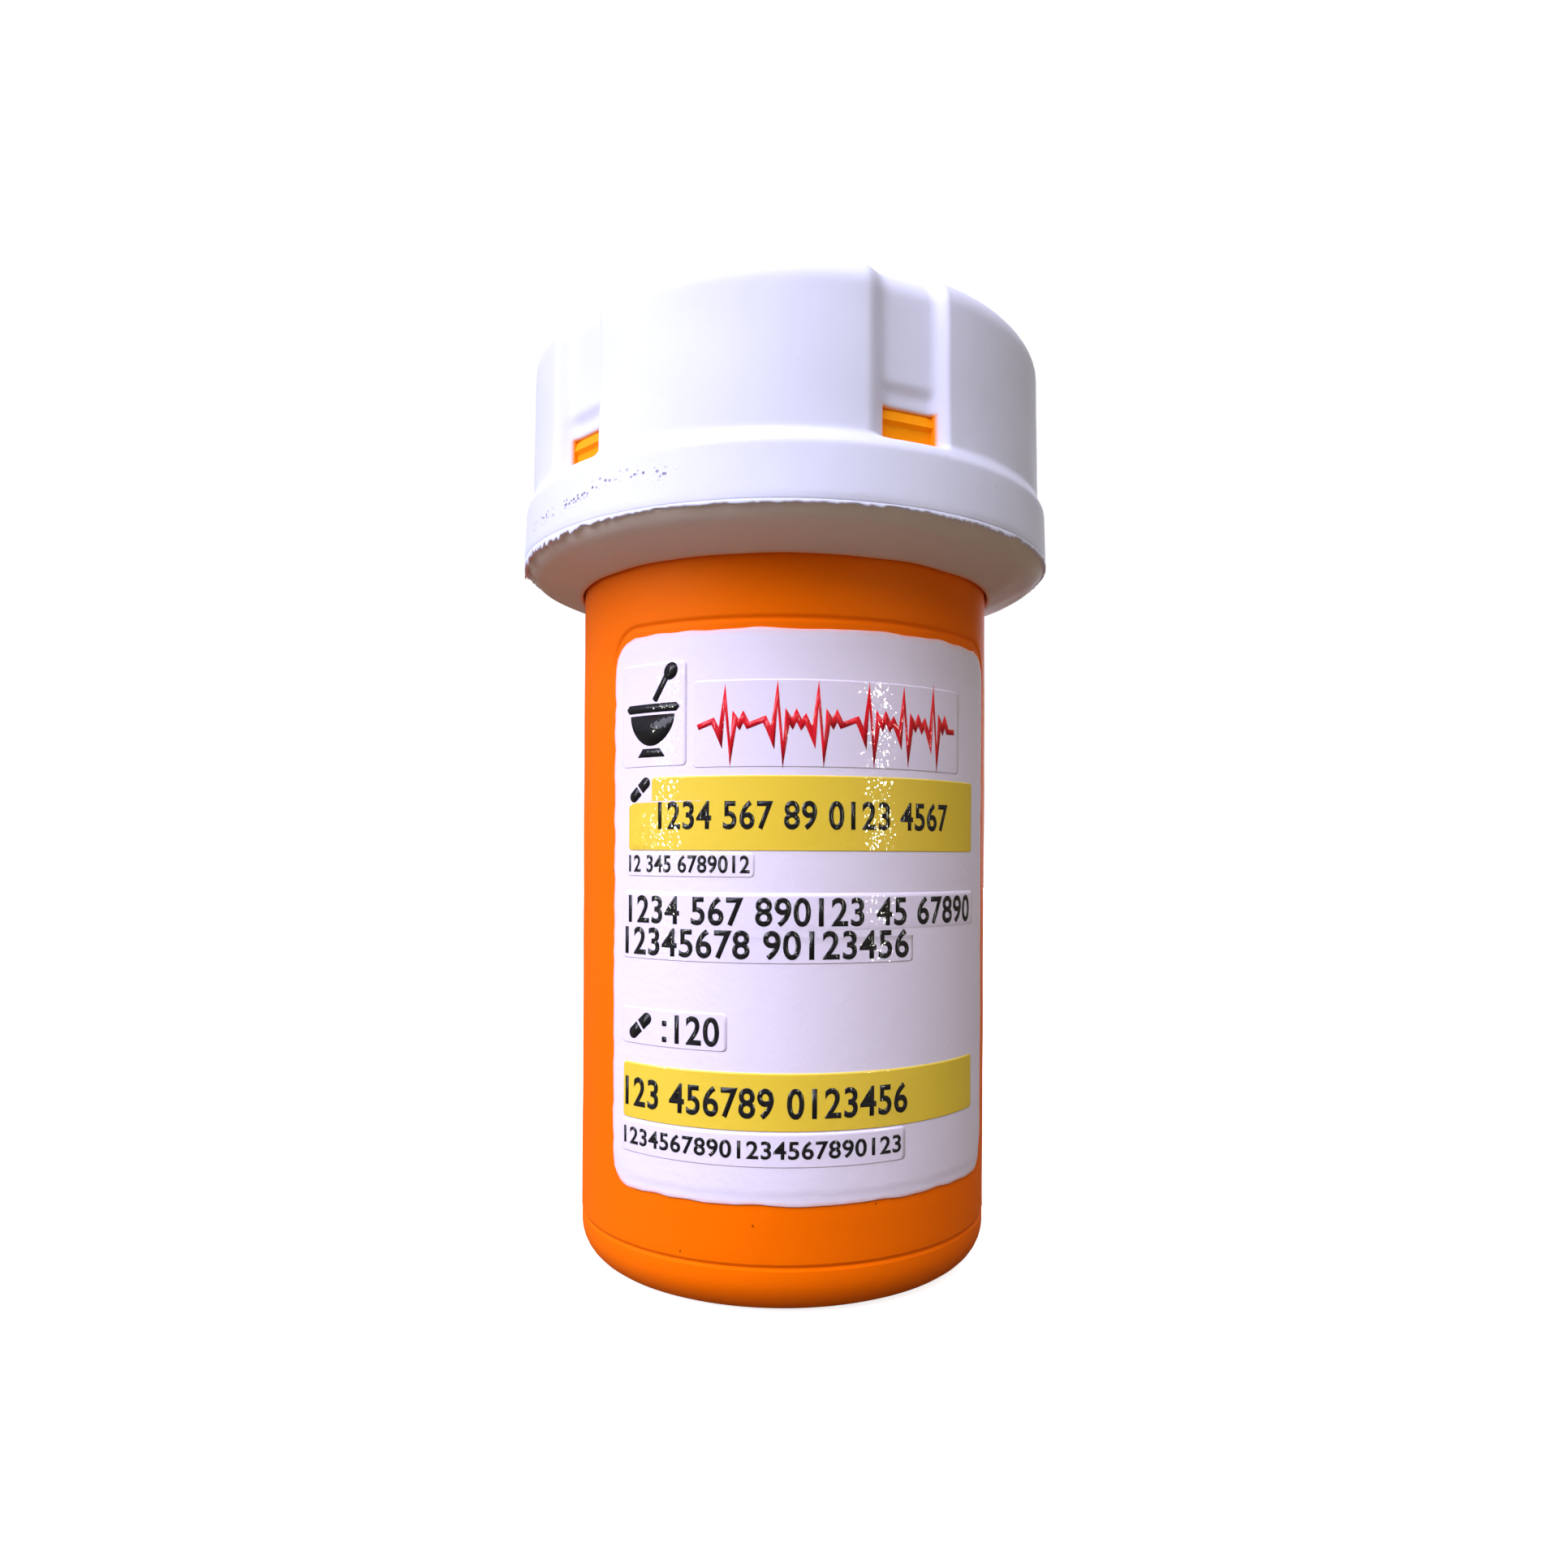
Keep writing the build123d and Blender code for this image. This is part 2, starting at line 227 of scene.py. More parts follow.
def rounded(corners, step):
    """Points along an open outline of (radius, height) corners; a third number rounds that corner."""
    path = [np.array(corners[0][:2])]
    for before, corner, after in zip(corners, corners[1:], corners[2:]):
        here = np.array(corner[:2])
        if len(corner) == 2:
            path.append(here)
            continue
        u, v = np.array(before[:2]) - here, np.array(after[:2]) - here
        u, v = u / np.linalg.norm(u), v / np.linalg.norm(v)
        half = acos(np.clip(u @ v, -1, 1)) / 2
        centre = here + (u + v) / np.linalg.norm(u + v) * corner[2] / sin(half)
        start, end = here + u * corner[2] / tan(half) - centre, here + v * corner[2] / tan(half) - centre
        first = atan2(start[1], start[0])
        sweep = (atan2(end[1], end[0]) - first + pi) % (2 * pi) - pi
        for turn in np.linspace(first, first + sweep, max(2, ceil(abs(sweep) / radians(10))) + 1):
            path.append(centre + corner[2] * np.array([cos(turn), sin(turn)]))
    path.append(np.array(corners[-1][:2]))
    points = [path[0]]
    for p, q in zip(path, path[1:]):
        count = max(1, ceil(np.linalg.norm(q - p) / step - 1e-6))
        points.extend(p + (q - p) * k / count for k in range(1, count + 1))
    return np.array(points)


def turned(radius, height, bearing):
    """Points at radii and heights round the vial."""
    radius, height, bearing = np.broadcast_arrays(radius, height, bearing)
    return np.stack([radius * np.sin(bearing), -radius * np.cos(bearing), height], axis=-1)


def looped_faces(rows, columns):
    """Quads of a grid that closes round the vial and also from its last row to its first."""
    count = rows * columns
    return [tuple(k % count for k in face) for face in grid_faces(rows + 1, columns, closed=True)]


def grid_faces(rows, columns, closed, keep=None):
    """Quads of a grid of points, stored row by row; keep says which of them are wanted."""
    faces = []
    for i in range(rows - 1):
        for j in range(columns if closed else columns - 1):
            if keep is None or keep[i, j]:
                a, b = i * columns + j, i * columns + (j + 1) % columns
                faces.append((a, b, b + columns, a + columns))
    return faces


def body_radius(height):
    """Outer radius of the vial's body: a straight taper."""
    return FOOT_R + (height - CREASE_Z) / (SHOULDER_Z - CREASE_Z) * (SHOULDER_R - FOOT_R)


def bearing_span(node):
    """First and last bearing of a sheet on the front of the body, from its box."""
    low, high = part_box(node)
    outer = body_radius(high.z) + (LABEL_LIFT if node == "label" else FILM_LIFT)
    return asin(low.x / outer), asin(high.x / outer)


def outline_distance(across, up, half_width, half_height, corner):
    """Distance inside a rounded rectangle, negative outside it."""
    x, y = np.abs(across) - half_width + corner, np.abs(up) - half_height + corner
    outside = np.hypot(np.maximum(x, 0), np.maximum(y, 0))
    return corner - outside - np.minimum(np.maximum(x, y), 0)


def wall_offset(bearing, height, sizes):
    """How far the body's wall lies from its taper: the moulded outline of the label's place, and ripple."""
    first, last = bearing_span("label")
    margin = (0.8 * MM, 0.5 * MM, 0.75 * MM)        # beyond the label's sides, and at its foot and head
    middle, low, high = (first + last) / 2, LABEL_BOX[0].z + margin[1], LABEL_BOX[1].z + margin[2]
    across = ((bearing - middle + pi) % (2 * pi) - pi) * FOOT_R
    half_width = (last - first) / 2 * FOOT_R + 0.3 * margin[0]
    inside = outline_distance(across, height - (low + high) / 2, half_width, (high - low) / 2, 2.75 * MM)
    fade = 0.35 + 0.65 * smooth(43 * MM, 48 * MM, height)          # faint down the sides, full at the head
    groove = np.exp(-(inside / (0.4 * sizes.outline_width)) ** 2) * fade
    waves = ripple(bearing * FOOT_R, height, 14 * MM, seed=3) * smooth(0, 6 * MM, height)
    near_seam = smooth(pi, pi - 0.3, np.abs((bearing + pi) % (2 * pi) - pi))
    return sizes.wall_ripple * waves * near_seam - sizes.outline_depth * groove


def add_piece(name, points, faces, body, material, flat_faces=(), values=None):
    """A mesh that rides on a CAD body, with float values on its points."""
    mesh = bpy.data.meshes.new(name)
    mesh.from_pydata(np.asarray(points).reshape(-1, 3), [], faces)
    mesh.polygons.foreach_set("use_smooth", np.ones(len(faces), bool))
    for k in flat_faces:
        mesh.polygons[k].use_smooth = False
    for key, numbers in (values or {}).items():
        layer = mesh.attributes.new(key, "FLOAT", "POINT")
        layer.data.foreach_set("value", np.ascontiguousarray(numbers, np.float32).ravel())
    bm = bmesh.new()
    bm.from_mesh(mesh)
    bmesh.ops.remove_doubles(bm, verts=bm.verts, dist=1e-7)
    bm.to_mesh(mesh)
    bm.free()
    mesh.materials.append(material)
    piece = bpy.data.objects.new(name, mesh)
    bpy.context.scene.collection.objects.link(piece)
    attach(piece, body)
    return piece


def add_sheet(name, flat, faces, low, high, sizes, material, values=None):
    """A closed thin sheet wrapped on the body.

    flat holds distances round and heights; low and high are the lifts of its back and its front.
    """
    flat = np.asarray(flat)
    bearing, height = flat[:, 0] / FOOT_R, flat[:, 1]
    base = body_radius(height) + wall_offset(bearing, height, sizes)
    points = np.vstack([turned(base + high, height, bearing), turned(base + low, height, bearing)])
    count = len(flat)
    used = dict.fromkeys((a, b) for face in faces for a, b in zip(face, face[1:] + face[:1]))
    sides = [(b, a, a + count, b + count) for a, b in used if (b, a) not in used]
    back = [tuple(k + count for k in reversed(face)) for face in faces]
    doubled = {key: np.tile(numbers, 2) for key, numbers in (values or {}).items()}
    total = list(faces) + back + sides
    flat_faces = range(len(faces), len(total))
    return add_piece(name, points, total, "vial", material, flat_faces, doubled)


# Materials

def add_node(tree, kind, inputs=None, **settings):
    """Adds a node with its settings; inputs are values or the sockets that feed it, by name or place."""
    made = tree.nodes.new(kind)
    for key, value in settings.items():
        setattr(made, key, value)
    for key, value in (inputs or {}).items():
        if isinstance(value, bpy.types.NodeSocket):
            tree.links.new(value, made.inputs[key])
        else:
            made.inputs[key].default_value = value
    return made


def start_material(name, **surface):
    """A material with one shader: its node tree, the shader, and where on the piece a point is."""
    material = bpy.data.materials.new(name)
    material.use_nodes = True
    tree = material.node_tree
    tree.nodes.clear()
    settings = {key.replace("_", " ").title().replace("Ior", "IOR"): value for key, value in surface.items()}
    shader = add_node(tree, "ShaderNodeBsdfPrincipled", settings)
    add_node(tree, "ShaderNodeOutputMaterial", {"Surface": shader.outputs[0]})
    return material, tree, shader, add_node(tree, "ShaderNodeTexCoord").outputs["Object"]


def four(rgb):
    """A colour with full opacity."""
    return (*rgb, 1)


def shade(rgb, amount):
    """A colour made lighter, above 1, or darker, below 1."""
    return four([min(1, c * amount) for c in rgb])


def raise_grain(tree, where, size, height, seed=0.0, under=None, detail=2):
    """Grain of one size in the surface's normal: size and height in metres."""
    pattern = add_node(tree, "ShaderNodeTexNoise", {"Vector": where, "Scale": 1 / size, "W": seed,
                                                    "Detail": detail}, noise_dimensions="4D")
    links = {"Height": pattern.outputs[0], "Distance": height, "Strength": 1.0}
    if under:
        links["Normal"] = under
    return add_node(tree, "ShaderNodeBump", links).outputs[0]


def glint_facets(tree, where):
    """A normal that leans a random way in each small cell, so that a reflection breaks into glints."""
    cells = add_node(tree, "ShaderNodeTexVoronoi", {"Vector": where, "Scale": 1 / GLINT_SIZE})
    spread = {0: cells.outputs["Color"], 1: (2 * GLINT_TILT,) * 3, 2: (-GLINT_TILT,) * 3}
    lean = add_node(tree, "ShaderNodeVectorMath", spread, operation="MULTIPLY_ADD").outputs[0]
    upright = add_node(tree, "ShaderNodeNewGeometry").outputs["Normal"]
    leaning = add_node(tree, "ShaderNodeVectorMath", {0: upright, 1: lean}).outputs[0]
    return add_node(tree, "ShaderNodeVectorMath", {0: leaning}, operation="NORMALIZE").outputs[0]


def mottle(tree, where, size, rgb, spread, seed=0.0):
    """A colour that wanders a little lighter and darker over patches of a size."""
    pattern = add_node(tree, "ShaderNodeTexNoise", {"Vector": where, "Scale": 1 / size, "W": seed,
                                                    "Detail": 3}, noise_dimensions="4D")
    return add_node(tree, "ShaderNodeMix", {0: pattern.outputs[0], 6: shade(rgb, 1 - spread),
                                            7: shade(rgb, 1 + spread)}, data_type="RGBA").outputs[2]


def blend_by(tree, share, under, over):
    """One colour over another, by a share from 0 to 1."""
    return add_node(tree, "ShaderNodeMix", {0: share, 6: under, 7: over}, data_type="RGBA").outputs[2]


def stretch(tree, value, low, high):
    """A value spread so that low gives 0 and high gives 1."""
    ends = {"Value": value, "From Min": low, "From Max": high}
    return add_node(tree, "ShaderNodeMapRange", ends).outputs[0]


def held(tree, key):
    """A float value held on the piece's points."""
    return add_node(tree, "ShaderNodeAttribute", attribute_name=key).outputs["Fac"]


def moulded_polypropylene(name, rgb, spread=0.02, gloss=0.2, shine="#FF9A3A"):
    """Polypropylene from a spark-eroded mould: a satin skin, a fine soft grain and no sharp reflection."""
    material, tree, shader, where = start_material(
        name, roughness=0.6, ior=1.49, specular_ior_level=gloss, specular_tint=four(linear(shine)))
    skin = raise_grain(tree, where, 0.45 * MM, 0.012 * MM)
    skin = raise_grain(tree, where, 2.6 * MM, 0.03 * MM, seed=4, under=skin)
    dust = add_node(tree, "ShaderNodeTexVoronoi", {"Vector": where, "Scale": 1 / (3.6 * MM)})
    speck = stretch(tree, dust.outputs["Distance"], 0.034, 0.018)
    tint = blend_by(tree, speck, mottle(tree, where, 6 * MM, rgb, spread), shade(rgb, 0.35))
    tree.links.new(tint, shader.inputs["Base Color"])
    tree.links.new(skin, shader.inputs["Normal"])
    return material, tree, shader, where, tint, skin


def cap_polypropylene(name, rgb, overspray):
    """White filled polypropylene: flow lines from the mould, pinholes with painted shade, and orange dust
    round openings.
    """
    material, tree, shader, where, tint, skin = moulded_polypropylene(
        name, rgb, spread=0.012, gloss=0.3, shine="#FFFFFF")
    lean = add_node(tree, "ShaderNodeMapping", {"Vector": where, "Rotation": (0, radians(38), 0),
                                                "Scale": (1, 1, 0.12)}).outputs[0]
    skin = raise_grain(tree, lean, 1.1 * MM, 0.035 * MM, seed=9, under=skin)
    holes = add_node(tree, "ShaderNodeTexVoronoi", {"Vector": where, "Scale": 1 / (0.36 * MM)})
    pit = add_node(tree, "ShaderNodeMath", {0: stretch(tree, holes.outputs["Distance"], 0.34, 0.22),
                                            1: held(tree, "pits")}, operation="MULTIPLY").outputs[0]
    # Each pinhole is coloured dark mauve: painted shade inside the hole, over the bump that sinks it.
    pinhole_shade = four(linear("#7C639A"))
    dusted = blend_by(tree, held(tree, "overspray"), tint, four(overspray))
    tree.links.new(blend_by(tree, pit, dusted, pinhole_shade), shader.inputs["Base Color"])
    hollow = {"Height": pit, "Distance": 0.08 * MM, "Normal": skin}
    sunk = add_node(tree, "ShaderNodeBump", hollow, invert=True)
    tree.links.new(sunk.outputs[0], shader.inputs["Normal"])
    return material


def coated_paper(name, rgb, edge_rgb):
    """Coated label paper on a grained wall: matt, with a leathery grain, and orange showing at its edge."""
    material, tree, shader, where = start_material(name, roughness=0.65, ior=1.5, specular_ior_level=0.3)
    skin = raise_grain(tree, where, 0.5 * MM, 0.03 * MM, detail=3)
    skin = raise_grain(tree, where, 3 * MM, 0.05 * MM, seed=2, under=skin)
    tint = mottle(tree, where, 5 * MM, rgb, 0.015)
    tree.links.new(blend_by(tree, held(tree, "edge"), tint, four(edge_rgb)), shader.inputs["Base Color"])
    tree.links.new(skin, shader.inputs["Normal"])
    return material


def polyester_film(name, rgb, edge_rgb):
    """Polyester film over grained paper: a clear mirror-like coat whose reflection breaks into glints."""
    material, tree, shader, where = start_material(
        name, roughness=0.6, ior=1.5, specular_ior_level=0.2, **FILM_COAT)
    skin = raise_grain(tree, where, 0.5 * MM, 0.025 * MM, detail=3)
    coat = glint_facets(tree, where)
    tint = mottle(tree, where, 4 * MM, rgb, 0.02)
    tree.links.new(blend_by(tree, held(tree, "edge"), tint, four(edge_rgb)), shader.inputs["Base Color"])
    tree.links.new(skin, shader.inputs["Normal"])
    tree.links.new(coat, shader.inputs["Coat Normal"])
    return material


def printed_ink(name, rgb):
    """Toner under film: dense and even, with the film's gloss over it."""
    material, tree, shader, where = start_material(
        name, roughness=0.6, ior=1.5, specular_ior_level=0.1, **FILM_COAT)
    coat = glint_facets(tree, where)
    tree.links.new(mottle(tree, where, 0.4 * MM, rgb, 0.12), shader.inputs["Base Color"])
    tree.links.new(coat, shader.inputs["Coat Normal"])
    return material


def foamed_polyethylene(name, rgb):
    """Foamed polyethylene sheet, cut to a disc: fine closed cells, dull and soft."""
    material, tree, shader, where = start_material(name, roughness=0.8, ior=1.5)
    cells = add_node(tree, "ShaderNodeTexVoronoi", {"Vector": where, "Scale": 1 / (0.5 * MM)})
    dents = add_node(tree, "ShaderNodeBump", {"Height": cells.outputs["Distance"], "Distance": 0.04 * MM})
    tree.links.new(mottle(tree, where, 1.5 * MM, rgb, 0.03), shader.inputs["Base Color"])
    tree.links.new(dents.outputs[0], shader.inputs["Normal"])
    return material


def natural_polyethylene(name, rgb):
    """Unpigmented low-density polyethylene, moulded: waxy, a little light passes into it."""
    material, tree, shader, where = start_material(
        name, roughness=0.42, ior=1.51, subsurface_weight=0.3, subsurface_scale=1.0 * MM)
    tree.links.new(mottle(tree, where, 3 * MM, rgb, 0.02), shader.inputs["Base Color"])
    tree.links.new(raise_grain(tree, where, 0.6 * MM, 0.01 * MM), shader.inputs["Normal"])
    return material


# Pieces

def near_lug(bearing):
    """Bearing from the middle of the nearest lug, window and flute."""
    return (bearing - LUG_BEARING + LUG_PITCH / 2) % LUG_PITCH - LUG_PITCH / 2


def require(*nodes):
    """Stops with an error if the packed model lacks a CAD node."""
    for node in nodes:
        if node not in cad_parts:
            raise RuntimeError(f"the packed model has no node named {node}")


class VIAL_OT_body(bpy.types.Operator):
    """Build the moulded orange vial: foot, heel crease, body, shoulder, neck and lugs"""

    bl_idname = "vial.body"
    bl_label = "Vial body"

    def execute(self, context):
        require("vial_body")
        sizes, colours = context.scene.vial_sizes, context.scene.vial_colours
        heel, crease_half = FOOT_R - 0.04 * MM, 0.24 * MM
        neck, bore = 16.1 * MM, 15.1 * MM
        outer = rounded([
            (0, 0.5 * MM), (11.6 * MM, 0.5 * MM, 0.4 * MM), (12.3 * MM, 0, 0.4 * MM), (heel, 0, 2.8 * MM),
            (heel, CREASE_Z - crease_half, 0.2 * MM),
            (FOOT_R - sizes.crease_depth, CREASE_Z, 0.08 * MM),
            (body_radius(CREASE_Z + crease_half), CREASE_Z + crease_half, 0.2 * MM),
            (SHOULDER_R, SHOULDER_Z, 0.6 * MM), (neck, SHOULDER_Z + 0.7 * MM, 0.3 * MM),
            (neck, RIM_Z, 0.4 * MM), (bore, RIM_Z, 0.4 * MM), (bore, RIM_Z - 1 * MM)], 0.9 * MM)
        floor_z, floor_r = 1.8 * MM, 14.75 * MM
        inner = rounded([(bore, RIM_Z - 1 * MM), (floor_r, floor_z, 2.2 * MM), (0, floor_z)], 2 * MM)[1:]
        outer = self.refine(outer)
        radius = np.vstack([outer, inner])[:, :1]
        height = np.vstack([outer, inner])[:, 1:]
        bearing = self.columns()[None, :]
        outside = np.arange(len(radius))[:, None] < len(outer)
        on_wall = outside & (height > CREASE_Z + 0.4 * MM) & (height < SHOULDER_Z)
        radius = radius + np.where(on_wall, wall_offset(bearing, height, sizes), 0)
        on_neck = outside & (radius > neck - 0.01 * MM) & (height > SHOULDER_Z + 1 * MM)
        radius = radius + np.where(on_neck, self.lugs(bearing, height), 0)
        points = turned(radius, height, bearing)
        material = moulded_polypropylene("orange moulded polypropylene", colours.vial)[0]
        faces = grid_faces(len(radius), bearing.size, closed=True)
        piece = add_piece("vial_moulding", points, faces, "vial", material)
        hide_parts("vial_body")
        return {"FINISHED"}

    @staticmethod
    def refine(profile):
        """Closer rows of points where the outline of the label's place and the lugs' ends run round."""
        foot, head = LABEL_BOX[0].z, LABEL_BOX[1].z
        zones = [(foot, foot + 3.6 * MM), (head - 2.4 * MM, head + 1.4 * MM), (60.3 * MM, 62.7 * MM)]
        rows = [profile[0]]
        for p, q in zip(profile, profile[1:]):
            middle = (p[1] + q[1]) / 2
            fine = p[0] > 15.5 * MM and any(low < middle < high for low, high in zones)
            count = ceil(np.linalg.norm(q - p) / (0.13 * MM)) if fine else 1
            rows.extend(p + (q - p) * k / count for k in range(1, count + 1))
        return np.array(rows)

    @staticmethod
    def columns():
        """Bearings of the columns of points: closer at the sides of the label's place and at the lugs."""
        first, last = bearing_span("label")
        reach = 3.2 * MM / FOOT_R

        def gap(bearing):
            by_side = min(abs(bearing - first), abs(bearing - last)) < reach
            by_lug = abs(abs(near_lug(bearing)) - radians(7)) < radians(0.8)
            return radians(0.45) if by_side else radians(0.3) if by_lug else radians(2)

        return stations(-pi, pi, gap)[:-1]

    @staticmethod
    def lugs(bearing, height):
        """How far the lugs stand out of the neck."""
        edge = radians(0.4)
        across = smooth(radians(7) + edge, radians(7) - edge, np.abs(near_lug(bearing)))
        up = smooth(60.6 * MM, 60.8 * MM, height) * smooth(62.4 * MM, 62.2 * MM, height)
        return 1.1 * MM * across * up


class VIAL_OT_cap_shell(bpy.types.Operator):
    """Build the white cap: rounded roof, five flutes with a window at the foot of each, and a flared band"""

    bl_idname = "vial.cap_shell"
    bl_label = "Cap shell"

    def execute(self, context):
        require("cap_shell")
        sizes, colours = context.scene.cap_sizes, context.scene.vial_colours
        self.sizes = sizes
        roof = TOP_Z - 1.6 * MM
        shoulder = TOP_Z - sizes.top_round
        wall = rounded([(SEAM_R, SEAM_Z), (BAND_R, SEAM_Z + 0.5 * MM, 0.4 * MM),
                        (22.12 * MM, 60.9 * MM, 0.6 * MM), (CAP_R, 61.95 * MM, 0.8 * MM),
                        (CAP_R - 0.1 * MM, shoulder)], 0.2 * MM)
        window_rows = stations(*WINDOW_Z, 0.3 * MM)
        rises = np.concatenate([stations(SEAM_Z, WINDOW_Z[0], 0.22 * MM)[:-1], window_rows,
                                stations(WINDOW_Z[1], 67 * MM, 0.25 * MM)[1:],
                                stations(67 * MM, shoulder, 0.5 * MM)[1:]])
        bearing = self.columns()[None, :]
        wall_r = np.interp(rises, wall[:, 1], wall[:, 0])
        outer = [self.fluted(r, z, bearing) for r, z in zip(wall_r, rises)]
        heights = list(rises)
        rim = outer[-1]
        for turn in np.linspace(0, pi / 2, 11)[1:]:
            outer.append(rim - sizes.top_round * (1 - cos(turn)))
            heights.append(shoulder + sizes.top_round * sin(turn))
        for share in np.linspace(1, 0, 9)[1:]:
            outer.append((rim - sizes.top_round) * share)
            heights.append(TOP_Z)

        bore = 20.9 * MM
        lower = rounded([(SEAM_R, SEAM_Z), (bore, SEAM_Z), (bore, 60.15 * MM, 0.3 * MM),
                         (INNER_WALL_R, 60.75 * MM, 0.3 * MM), (INNER_WALL_R, WINDOW_Z[0])], 0.6 * MM)[1:-1]
        upper = [(INNER_WALL_R, z) for z in (*window_rows, *stations(WINDOW_Z[1], roof, 1 * MM)[1:-1])]
        edge = 0.2 * MM
        inmost = rounded([(INNER_WALL_R, roof), (HOLDER_R, roof), (HOLDER_R, HOLDER_Z, edge),
                          (HOLDER_LIP_R, HOLDER_Z, edge), (HOLDER_LIP_R, HOLDER_Z + 0.5 * MM, edge),
                          (HOLDER_BORE_R, HOLDER_Z + 0.9 * MM), (HOLDER_BORE_R, roof), (0, roof)], 1.2 * MM)
        inside = np.vstack([lower, upper, inmost])
        backs = [r - self.back_depth(r, z, bearing) for r, z in inside]

        # Rows run from the roof's middle down the outside, in at the seam and up the inside
        radius = np.vstack([outer[::-1], backs])
        height = np.concatenate([heights[::-1], inside[:, 1]])[:, None]
        outside = len(heights)
        sill, lintel = (outside - 1 - int(np.argmin(np.abs(rises - z))) for z in WINDOW_Z)
        back_sill = outside + len(lower)
        is_outer = np.arange(len(radius))[:, None] < outside
        radius += np.where(is_outer, self.waves(radius, height, bearing), 0)

        local = near_lug(bearing[0])
        half = atan2(WINDOW_HALF, FLUTE_FLOOR_R)
        middles = near_lug(bearing[0] + 0.5 * np.diff(bearing[0], append=bearing[0, 0] + 2 * pi))
        cut = np.flatnonzero(np.abs(middles) < half)
        sides = np.flatnonzero(np.abs(np.abs(local) - half) < 1e-6)
        in_window = np.flatnonzero(np.abs(local) < half + 1e-6)
        bevel = 0.1 * MM
        radius[np.ix_([sill, lintel], in_window)] -= bevel
        radius[np.ix_(range(lintel + 1, sill), sides)] -= bevel

        columns = bearing.size
        keep = np.ones((len(radius) - 1, columns), bool)
        keep[lintel:sill, cut] = False
        keep[back_sill:back_sill + sill - lintel, cut] = False
        faces = [face[::-1] for face in grid_faces(len(radius), columns, closed=True, keep=keep)]
        smooth_count = len(faces)
        faces += self.window_walls(columns, cut, sides, local, sill, lintel, back_sill)

        over = np.abs(radius * np.sin(local)) - WINDOW_HALF
        up = np.abs(height - sum(WINDOW_Z) / 2) - (WINDOW_Z[1] - WINDOW_Z[0]) / 2
        clear = np.hypot(np.maximum(over, 0), np.maximum(up, 0))
        reach = np.where(height < WINDOW_Z[0] - 0.01 * MM, 0.36 * MM, 0.18 * MM)
        overspray = smooth(reach, 0.03 * MM, clear)
        round_front = (bearing + pi) % (2 * pi) - pi
        crest = np.exp(-((round_front - radians(-30)) / radians(13)) ** 2)
        line = 58.35 * MM + MM * crest + 0.12 * MM * ripple(bearing * BAND_R, 0, 5 * MM, seed=8)
        near_line = np.exp(-((height - line) / (0.33 * MM)) ** 2) * (radius > bore)
        patchy = smooth(-0.5, 0.3, 0.5 + ripple(bearing * BAND_R, height, 2.5 * MM, seed=14))
        row_start = smooth(radians(-66), radians(-60), round_front)
        row_end = smooth(radians(-19), radians(-23), round_front)
        pits = near_line * patchy * row_start * row_end
        material = cap_polypropylene("white moulded polypropylene", colours.cap, colours.ring)
        piece = add_piece("cap_moulding", turned(radius, height, bearing), faces, "cap", material,
                          range(smooth_count, len(faces)), {"overspray": overspray, "pits": pits})
        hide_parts("cap_shell")
        return {"FINISHED"}

    @staticmethod
    def window_walls(columns, cut, sides, local, sill, lintel, back_sill):
        """Faces of the sill, head and sides of each window, from the outside of the wall to the inside."""
        back_lintel = back_sill + sill - lintel

        def at(row, column):
            return row * columns + column % columns

        faces = []
        for j in cut:
            faces.append((at(sill, j), at(sill, j + 1), at(back_sill, j + 1), at(back_sill, j)))
            faces.append((at(lintel, j + 1), at(lintel, j), at(back_lintel, j), at(back_lintel, j + 1)))
        for j in sides:
            for k in range(sill - lintel):
                low, high = at(sill - k, j), at(sill - k - 1, j)
                back_low, back_high = at(back_sill + k, j), at(back_sill + k + 1, j)
                on_left = local[j] < 0
                faces.append((high, low, back_low, back_high) if on_left
                             else (low, high, back_high, back_low))
        return faces

    def waves(self, radius, height, bearing):
        """Slight waves in the moulded wall, which die out at the seam, the roof's middle and the back."""
        calm = smooth(0, 4 * MM, radius) * smooth(SEAM_Z, SEAM_Z + 0.6 * MM, height)
        wave = ripple(bearing * BAND_R, height, 9 * MM, seed=11)
        return self.sizes.wall_ripple * calm * wave * self.ends(bearing)

    @staticmethod
    def ends(bearing):
        """0 where the first and last columns of points meet, and 1 away from there."""
        reach = radians(15)
        return smooth(bearing[0, 0], bearing[0, 0] + reach, bearing) * smooth(
            bearing[0, -1], bearing[0, -1] - reach, bearing)

    @staticmethod
    def columns():
        """Bearings of the columns: exact at the windows' sides, and close over the flutes."""
        half = atan2(WINDOW_HALF, FLUTE_FLOOR_R)
        side = np.concatenate([np.linspace(0, half, 9)[1:], [half + radians(0.35)],
                               stations(half + radians(0.7), radians(11), radians(0.38)),
                               stations(radians(11), LUG_PITCH / 2, radians(1.3))[1:-1]])
        local = np.concatenate([[-LUG_PITCH / 2], -side[::-1], [0], side])
        return np.concatenate([LUG_BEARING + k * LUG_PITCH + local for k in range(-2, 3)])

    def trough(self, bearing, floor, floor_half, slope, blend, step=0):
        """Radius of a straight trough with sloping sides, centred on each lug; step sinks its floor."""
        local = np.abs(near_lug(bearing))
        flat = (floor - step) / np.cos(local)
        side = (slope * floor - floor_half) / np.maximum(slope * np.cos(local) - np.sin(local), 0.05)
        return -soft_min(-flat, -side, blend)

